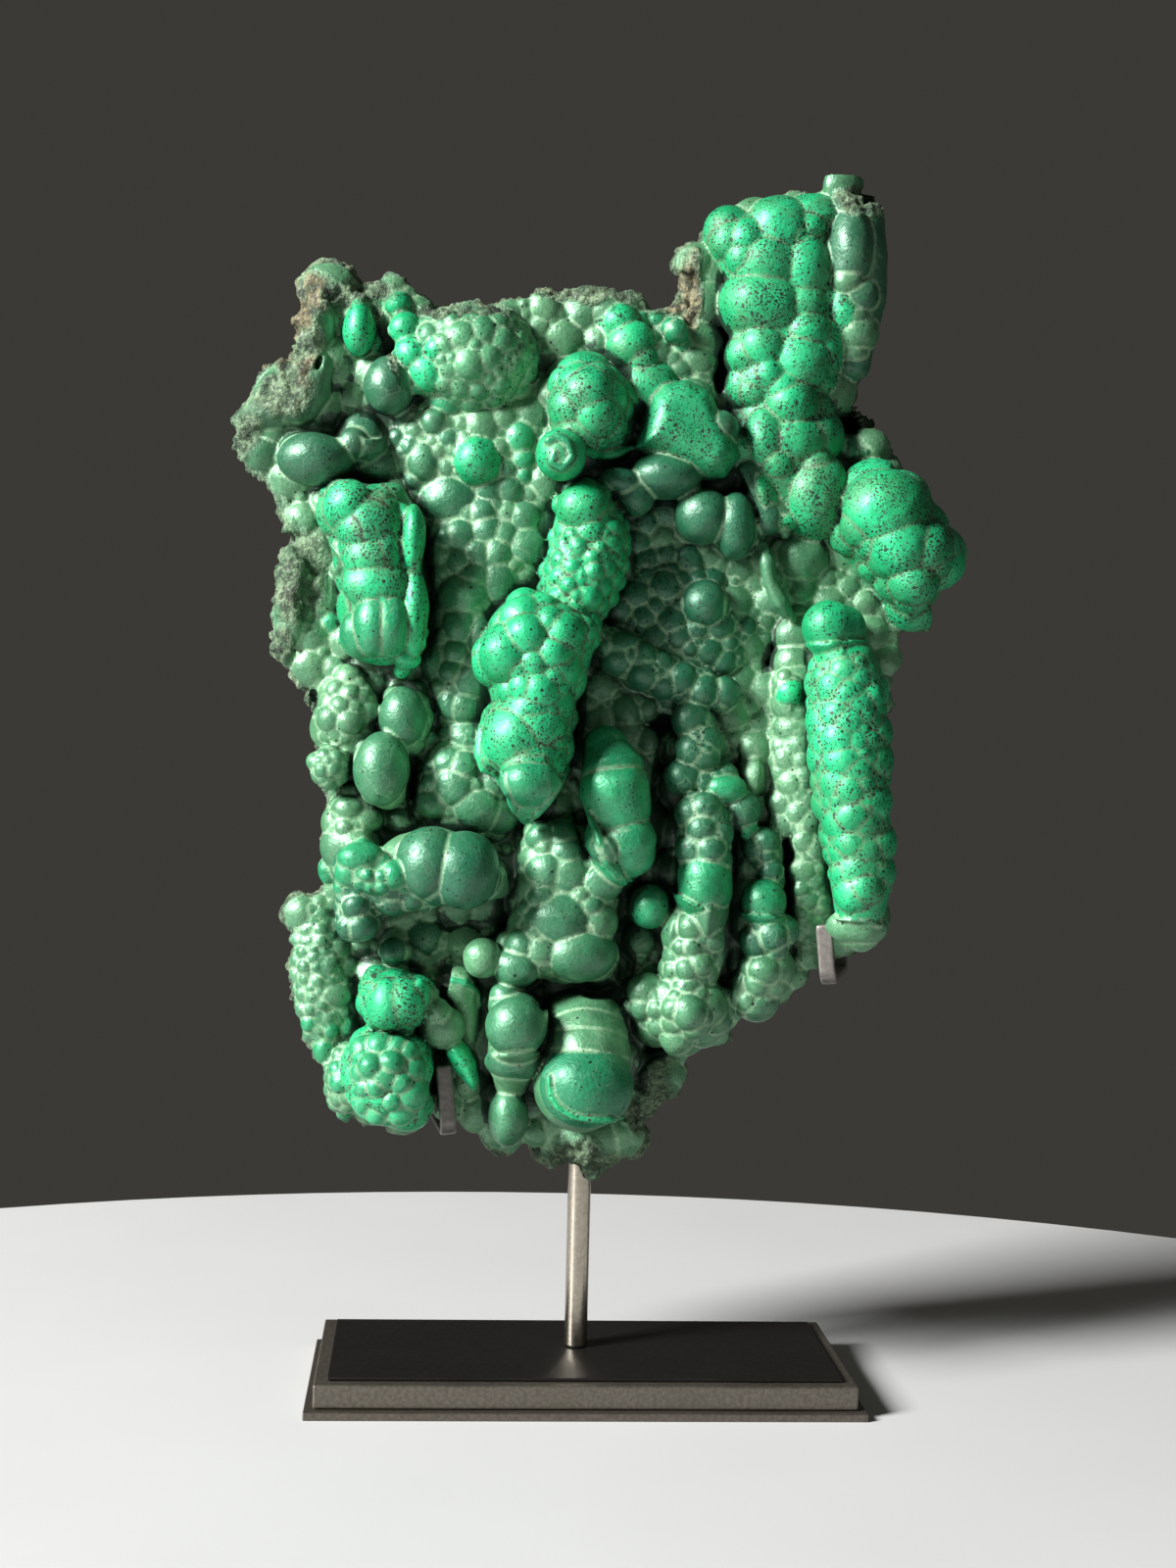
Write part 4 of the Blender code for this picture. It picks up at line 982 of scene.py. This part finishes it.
class Graph:
    """Short helper for node materials."""

    def __init__(self, mat):
        self.nodes = mat.node_tree.nodes
        self.links = mat.node_tree.links
        self.shader = self.nodes["Principled BSDF"]
        self.coords = self.add("ShaderNodeTexCoord").outputs["Object"]

    def add(self, kind, **settings):
        node = self.nodes.new(kind)
        for key, value in settings.items():
            setattr(node, key, value)
        return node

    def feed(self, socket, value):
        """Link an output to a socket, or set a plain value on it."""
        if hasattr(value, "links"):
            self.links.new(value, socket)
        else:
            socket.default_value = value

    def math(self, kind, a, b, clamp=False):
        node = self.add("ShaderNodeMath", operation=kind, use_clamp=clamp)
        self.feed(node.inputs[0], a)
        self.feed(node.inputs[1], b)
        return node.outputs[0]

    def times(self, a, b, clamp=False):
        return self.math("MULTIPLY", a, b, clamp)

    def plus(self, a, b, clamp=False):
        return self.math("ADD", a, b, clamp)

    def fit(self, value, a, b, c=0.0, d=1.0):
        """Smooth ramp from c to d while the value goes from a to b."""
        node = self.add("ShaderNodeMapRange", interpolation_type="SMOOTHSTEP")
        for slot, item in zip(range(5), (value, a, b, c, d)):
            self.feed(node.inputs[slot], item)
        return node.outputs[0]

    def mix(self, amount, a, b):
        node = self.add("ShaderNodeMix", data_type="RGBA")
        self.feed(node.inputs[0], amount)
        self.feed(node.inputs[6], a)
        self.feed(node.inputs[7], b)
        return node.outputs[2]

    def noise(self, scale, detail=3.0, rough=0.5, offset=0.0):
        node = self.add("ShaderNodeTexNoise")
        node.inputs["Scale"].default_value = scale
        node.inputs["Detail"].default_value = detail
        node.inputs["Roughness"].default_value = rough
        shift = self.add("ShaderNodeMapping")
        shift.inputs["Location"].default_value = (offset, offset * 1.7, offset * 0.6)
        self.links.new(self.coords, shift.inputs[0])
        self.links.new(shift.outputs[0], node.inputs["Vector"])
        return node.outputs[0]

    def paint(self, name):
        """The four numbers painted on the vertices under a name."""
        node = self.add("ShaderNodeAttribute", attribute_name=name)
        return *self.split(node.outputs["Color"]), node.outputs["Alpha"]

    def split(self, color):
        node = self.add("ShaderNodeSeparateColor")
        self.links.new(color, node.inputs[0])
        return node.outputs

    def cells(self, scale):
        """Distance to the middle of scattered cells, and their random colour."""
        node = self.add("ShaderNodeTexVoronoi", feature="F1")
        node.inputs["Scale"].default_value = scale
        self.links.new(self.coords, node.inputs["Vector"])
        return node.outputs["Distance"], node.outputs["Color"]

    def edges(self, scale, wobble):
        """Distance to the edges between cells whose borders waver."""
        shift = self.add("ShaderNodeTexNoise")
        shift.inputs["Scale"].default_value = scale * 0.8
        self.links.new(self.coords, shift.inputs["Vector"])
        moved = self.add("ShaderNodeVectorMath", operation="MULTIPLY_ADD")
        self.links.new(shift.outputs["Color"], moved.inputs[0])
        moved.inputs[1].default_value = (wobble, wobble, wobble)
        self.links.new(self.coords, moved.inputs[2])
        node = self.add("ShaderNodeTexVoronoi", feature="DISTANCE_TO_EDGE")
        node.inputs["Scale"].default_value = scale
        self.links.new(moved.outputs[0], node.inputs["Vector"])
        return node.outputs["Distance"]

    def bump(self, height, strength, distance, below=None):
        node = self.add("ShaderNodeBump")
        self.feed(node.inputs["Strength"], strength)
        node.inputs["Distance"].default_value = distance
        self.feed(node.inputs["Height"], height)
        if below is not None:
            self.links.new(below, node.inputs["Normal"])
        return node.outputs[0]


def rgb(r, g, b):
    return (r, g, b, 1.0)


def stone_material():
    """Malachite: two greens, pale dusty creases, dark specks and broken stone, from the painted numbers."""
    mat = bpy.data.materials.new("malachite_stone")
    mat.use_nodes = True
    g = Graph(mat)
    fresh, speck, crease, dark = g.paint("form_a")
    tone, rough, hollow_shade, tan = g.paint("form_b")
    broad = g.noise(28.0, 4.0, 0.6)
    fine = g.noise(160.0, 5.0, 0.65, 3.0)
    grain = g.noise(900.0, 3.0, 0.6, 7.0)
    drift = g.fit(broad, 0.3, 0.7)
    fleck = g.fit(fine, 0.35, 0.65)
    # Fresh and weathered green, darker on the dark lobes and from cell to cell
    vivid = g.mix(drift, rgb(0.002, 0.32, 0.105), rgb(0.012, 0.62, 0.245))
    sage = g.mix(drift, rgb(0.048, 0.180, 0.078), rgb(0.140, 0.355, 0.175))
    body = g.mix(g.fit(fresh, 0.1, 0.95), sage, vivid)
    deep = g.mix(0.9, body, rgb(0.002, 0.072, 0.040))
    # The darkness is the lobes' own darker green; on the DEEP forms it is partly painted shade
    body = g.mix(g.times(dark, 1.2, True), body, deep)
    body = g.mix(g.fit(tone, 0.0, 1.0, 0.0, 0.35), body, g.mix(0.5, body, rgb(0.003, 0.15, 0.08)))
    # Dust in the creases, with a dark core of painted shade in them on fresh skin
    pale = g.mix(fleck, rgb(0.24, 0.46, 0.25), rgb(0.42, 0.63, 0.40))
    olive = g.mix(fleck, rgb(0.08, 0.14, 0.065), rgb(0.22, 0.32, 0.17))
    pale = g.mix(g.fit(fresh, 0.55, 0.95), pale, olive)
    line = g.fit(crease, 0.12, g.fit(fresh, 0.2, 1.0, 0.58, 0.62), 1.0, 0.0)
    dusty = g.times(line, g.fit(fresh, 0.2, 1.0, 0.76, 0.62))
    body = g.mix(dusty, body, pale)
    # Painted shade: a dark line down the creases on fresh skin
    crease_shade = g.times(g.fit(crease, 0.10, 0.30, 1.0, 0.0), g.fit(fresh, 0.5, 0.9, 0.0, 0.9))
    body = g.mix(crease_shade, body, rgb(0.006, 0.030, 0.014))
    # Dark specks in three sizes over a thin haze
    where = g.fit(g.noise(75.0, 3.0, 0.6, 5.0), 0.36, 0.62, 0.10, 1.0)
    cloud = g.fit(g.noise(60.0, 4.0, 0.65, 12.0), 0.46, 0.70)
    haze = g.times(g.times(speck, cloud), 0.5)
    body = g.mix(haze, body, rgb(0.085, 0.14, 0.065))
    pit = None
    specks = ((520.0, 0.95, 0.10, 0.24), (1000.0, 1.0, 0.16, 0.28), (1500.0, 0.8, 0.20, 0.26))
    for scale, share, least, wide in specks:
        away, color = g.cells(scale)
        pick, spread, _ = g.split(color)
        chance = g.times(g.times(speck, where), share)
        size = g.plus(least, g.times(spread, wide))
        dot = g.times(g.math("LESS_THAN", away, size), g.math("LESS_THAN", pick, chance))
        pit = dot if pit is None else g.math("MAXIMUM", pit, dot)
    body = g.mix(g.times(pit, 0.95), body, rgb(0.001, 0.010, 0.005))
    # Broken stone, with tan patches and dark grit
    crust = g.mix(fleck, rgb(0.06, 0.13, 0.06), rgb(0.30, 0.43, 0.25))
    brown = g.mix(fleck, rgb(0.11, 0.090, 0.040), rgb(0.40, 0.35, 0.20))
    patch = g.noise(60.0, 4.0, 0.6, 9.0)
    crust = g.mix(g.fit(g.plus(patch, g.times(tan, 0.25)), 0.62, 0.74), crust, brown)
    crust = g.mix(g.fit(g.noise(110.0, 4.0, 0.7, 21.0), 0.56, 0.68), crust, rgb(0.014, 0.024, 0.014))
    grit = g.noise(420.0, 4.0, 0.7, 31.0)
    crust = g.mix(g.fit(grit, 0.40, 0.56, 0.75, 0.0), crust, rgb(0.020, 0.035, 0.020))
    body = g.mix(rough, body, crust)
    # Pale veins and mottle on the skin, painted shade darkening the hollows, and a fine grain over all
    vein = g.fit(g.edges(95.0, 0.016), 0.0, 0.030, 1.0, 0.0)
    vein = g.times(vein, g.fit(rough, 0.0, 0.5, 1.0, 0.0))
    body = g.mix(g.times(vein, g.fit(broad, 0.45, 0.62, 0.0, 0.30)), body, pale)
    mottle = g.fit(g.noise(230.0, 5.0, 0.7, 17.0), 0.48, 0.66)
    mottle = g.times(mottle, g.fit(fresh, 0.2, 1.0, 0.30, 0.05))
    body = g.mix(mottle, body, rgb(0.11, 0.20, 0.12))
    # Painted shade in the hollows
    body = g.mix(g.fit(hollow_shade, 0.40, 0.62, 0.0, 0.92), body, rgb(0.004, 0.020, 0.010))
    dim = g.mix(0.55, body, rgb(0.0, 0.01, 0.005))
    body = g.mix(g.times(g.fit(grain, 0.40, 0.62), 0.32), body, dim)
    g.links.new(body, g.shader.inputs["Base Color"])
    # Gloss, duller where the stone is dusty, specked or broken, and the fine relief
    gloss = g.fit(fine, 0.3, 0.7, 0.36, 0.48)
    gloss = g.plus(gloss, g.times(speck, 0.10))
    gloss = g.plus(gloss, g.times(rough, 0.35))
    gloss = g.plus(gloss, g.times(dusty, 0.25), True)
    g.links.new(gloss, g.shader.inputs["Roughness"])
    g.shader.inputs["IOR"].default_value = 1.65
    g.shader.inputs["Metallic"].default_value = 0.24
    g.shader.inputs["Coat Weight"].default_value = 0.06
    g.shader.inputs["Coat Roughness"].default_value = 0.2
    low = g.bump(g.times(pit, -1.0), 0.5, 0.0004)
    mid = g.bump(fine, 0.45, 0.0010, low)
    mid = g.bump(g.times(grit, rough), 1.0, 0.0040, mid)
    top = g.bump(g.times(grain, g.fit(rough, 0.0, 1.0, 0.45, 1.0)), 0.6, 0.0007, mid)
    g.links.new(top, g.shader.inputs["Normal"])
    return mat


def metal_material(name, color, rough, metallic, streak):
    """Satin metal with fine grain and faint stains."""
    mat = bpy.data.materials.new(name)
    mat.use_nodes = True
    g = Graph(mat)
    fine = g.noise(700.0, 4.0, 0.6)
    stain = g.noise(25.0, 4.0, 0.6, 4.0)
    dim = [v * (1.0 - streak) for v in color]
    body = g.mix(g.fit(fine, 0.35, 0.65), rgb(*dim), rgb(*color))
    body = g.mix(g.fit(stain, 0.45, 0.75, 0.0, 0.35), body, rgb(*[v * 0.6 for v in color]))
    g.links.new(body, g.shader.inputs["Base Color"])
    g.links.new(g.fit(stain, 0.3, 0.7, rough, rough + 0.12), g.shader.inputs["Roughness"])
    g.shader.inputs["Metallic"].default_value = metallic
    g.links.new(g.bump(fine, 0.12, 0.0002), g.shader.inputs["Normal"])
    return mat


PAINT = {"form_a": (fresh, speck, crease / 2.0, dark), "form_b": (tone, rough, hollow_shade, tan)}
stone = stone_material()
for number, name in enumerate(PIECES):
    faces = quads[part_of == number]
    used, inverse = np.unique(faces, return_inverse=True)
    faces = inverse.reshape(faces.shape)
    mesh = bpy.data.meshes.new("stone_" + name)
    mesh.vertices.add(len(used))
    mesh.vertices.foreach_set("co", (verts[used] * MM).astype(np.float32).ravel())
    mesh.loops.add(faces.size)
    mesh.loops.foreach_set("vertex_index", faces.astype(np.int32).ravel())
    mesh.polygons.add(len(faces))
    mesh.polygons.foreach_set("loop_start", np.arange(0, faces.size, 4, dtype=np.int32))
    mesh.update(calc_edges=True)
    mesh.validate()
    mesh.polygons.foreach_set("use_smooth", np.ones(len(faces), bool))
    for key, parts in PAINT.items():
        packed = np.stack([part[used] for part in parts], 1)
        layer = mesh.attributes.new(key, "FLOAT_COLOR", "POINT")
        layer.data.foreach_set("color", packed.astype(np.float32).ravel())
    mesh.materials.append(stone)
    piece = bpy.data.objects.new("stone_" + name, mesh)
    bpy.context.scene.collection.objects.link(piece)
    if name == "back":
        corners, uses = np.unique(faces, return_counts=True)
        inner = piece.vertex_groups.new(name="inner")
        inner.add([int(v) for v in corners[uses >= 4]], 1.0, "REPLACE")
        fewer = piece.modifiers.new("fewer_faces", "DECIMATE")
        fewer.ratio = BACK_FACES_KEPT
        fewer.vertex_group = "inner"
    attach(piece, "root")
    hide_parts("malachite")

# Metals of the stand: colour, roughness, metallic, how much darker its grain is
METALS = {
    "base_foot": ((0.165, 0.145, 0.120), 0.36, 0.85, 0.3),
    "base_body": ((0.185, 0.165, 0.135), 0.38, 0.85, 0.3),
    "base_top": ((0.010, 0.009, 0.008), 0.34, 0.3, 0.3),
    "post": ((0.50, 0.45, 0.37), 0.16, 1.0, 0.2),
    "hook_left": ((0.20, 0.185, 0.17), 0.34, 0.6, 0.3),
    "hook_right": ((0.25, 0.23, 0.21), 0.34, 0.6, 0.3),
}
for node, (color, rough_value, metallic, streak) in METALS.items():
    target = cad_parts[node]
    target.data.materials.clear()
    target.data.materials.append(metal_material(node + "_metal", color, rough_value, metallic, streak))
    if node.startswith("hook"):
        target.modifiers.new("joined_corners", "WELD").merge_threshold = 0.01 * MM
        even = target.modifiers.new("even_faces", "REMESH")
        even.mode = "VOXEL"
        even.voxel_size = 0.5 * MM
        even.use_smooth_shade = True
        soft = target.modifiers.new("soft_edges", "SMOOTH")
        soft.factor = 0.5
        soft.iterations = 14
    elif node.startswith("base"):
        soft = target.modifiers.new("soft_edges", "BEVEL")
        soft.width = 0.35 * MM
        soft.segments = 2

# Plain pale floor that ends behind the part, with plain grey behind it, in metres
FLOOR_RADIUS = 0.60
FLOOR_CENTRE = (-0.02, -0.29, 0.0)
BACKDROP = (0.044, 0.042, 0.037, 1.0)
bpy.ops.mesh.primitive_circle_add(
    vertices=128, radius=FLOOR_RADIUS, fill_type="NGON", location=FLOOR_CENTRE)
floor = bpy.context.object
floor.name = "floor"
floor_mat = bpy.data.materials.new("floor")
floor_mat.use_nodes = True
g = Graph(floor_mat)
tint = g.mix(g.noise(12.0, 3.0), rgb(0.50, 0.50, 0.495), rgb(0.54, 0.54, 0.535))
g.links.new(tint, g.shader.inputs["Base Color"])
g.shader.inputs["Roughness"].default_value = 0.55
floor.data.materials.append(floor_mat)

world = bpy.data.worlds.new("studio")
bpy.context.scene.world = world
world.use_nodes = True
world.node_tree.nodes["Background"].inputs[0].default_value = BACKDROP
world.node_tree.nodes["Background"].inputs[1].default_value = 1.0


def area_light(name, where, aim, size, power):
    lamp = bpy.data.lights.new(name, "AREA")
    lamp.shape = "RECTANGLE"
    lamp.size, lamp.size_y = size
    lamp.energy = power
    holder = bpy.data.objects.new(name, lamp)
    bpy.context.scene.collection.objects.link(holder)
    holder.location = where
    holder.rotation_euler = (Vector(aim) - Vector(where)).to_track_quat("-Z", "Y").to_euler()


area_light("key", (-3.00, -1.50, 2.00), (0, 0, 0.25), (0.9, 1.2), 460.0)
area_light("fill", (1.2, -1.3, 0.8), (0, 0, 0.25), (1.0, 1.0), 1.0)

bpy.context.scene.view_settings.view_transform = "Standard"

camera = bpy.data.cameras.new("camera")
camera.sensor_fit = "AUTO"
camera.sensor_width = SENSOR_MM
camera.lens = FOCAL_PX / (2 * MID_Y) * SENSOR_MM
holder = bpy.data.objects.new("camera", camera)
bpy.context.scene.collection.objects.link(holder)
turn = Matrix((TURN[:, 0], TURN[:, 2], -TURN[:, 1])).transposed().to_4x4()
turn.translation = Vector(CAM) * MM
holder.matrix_world = turn
bpy.context.scene.camera = holder
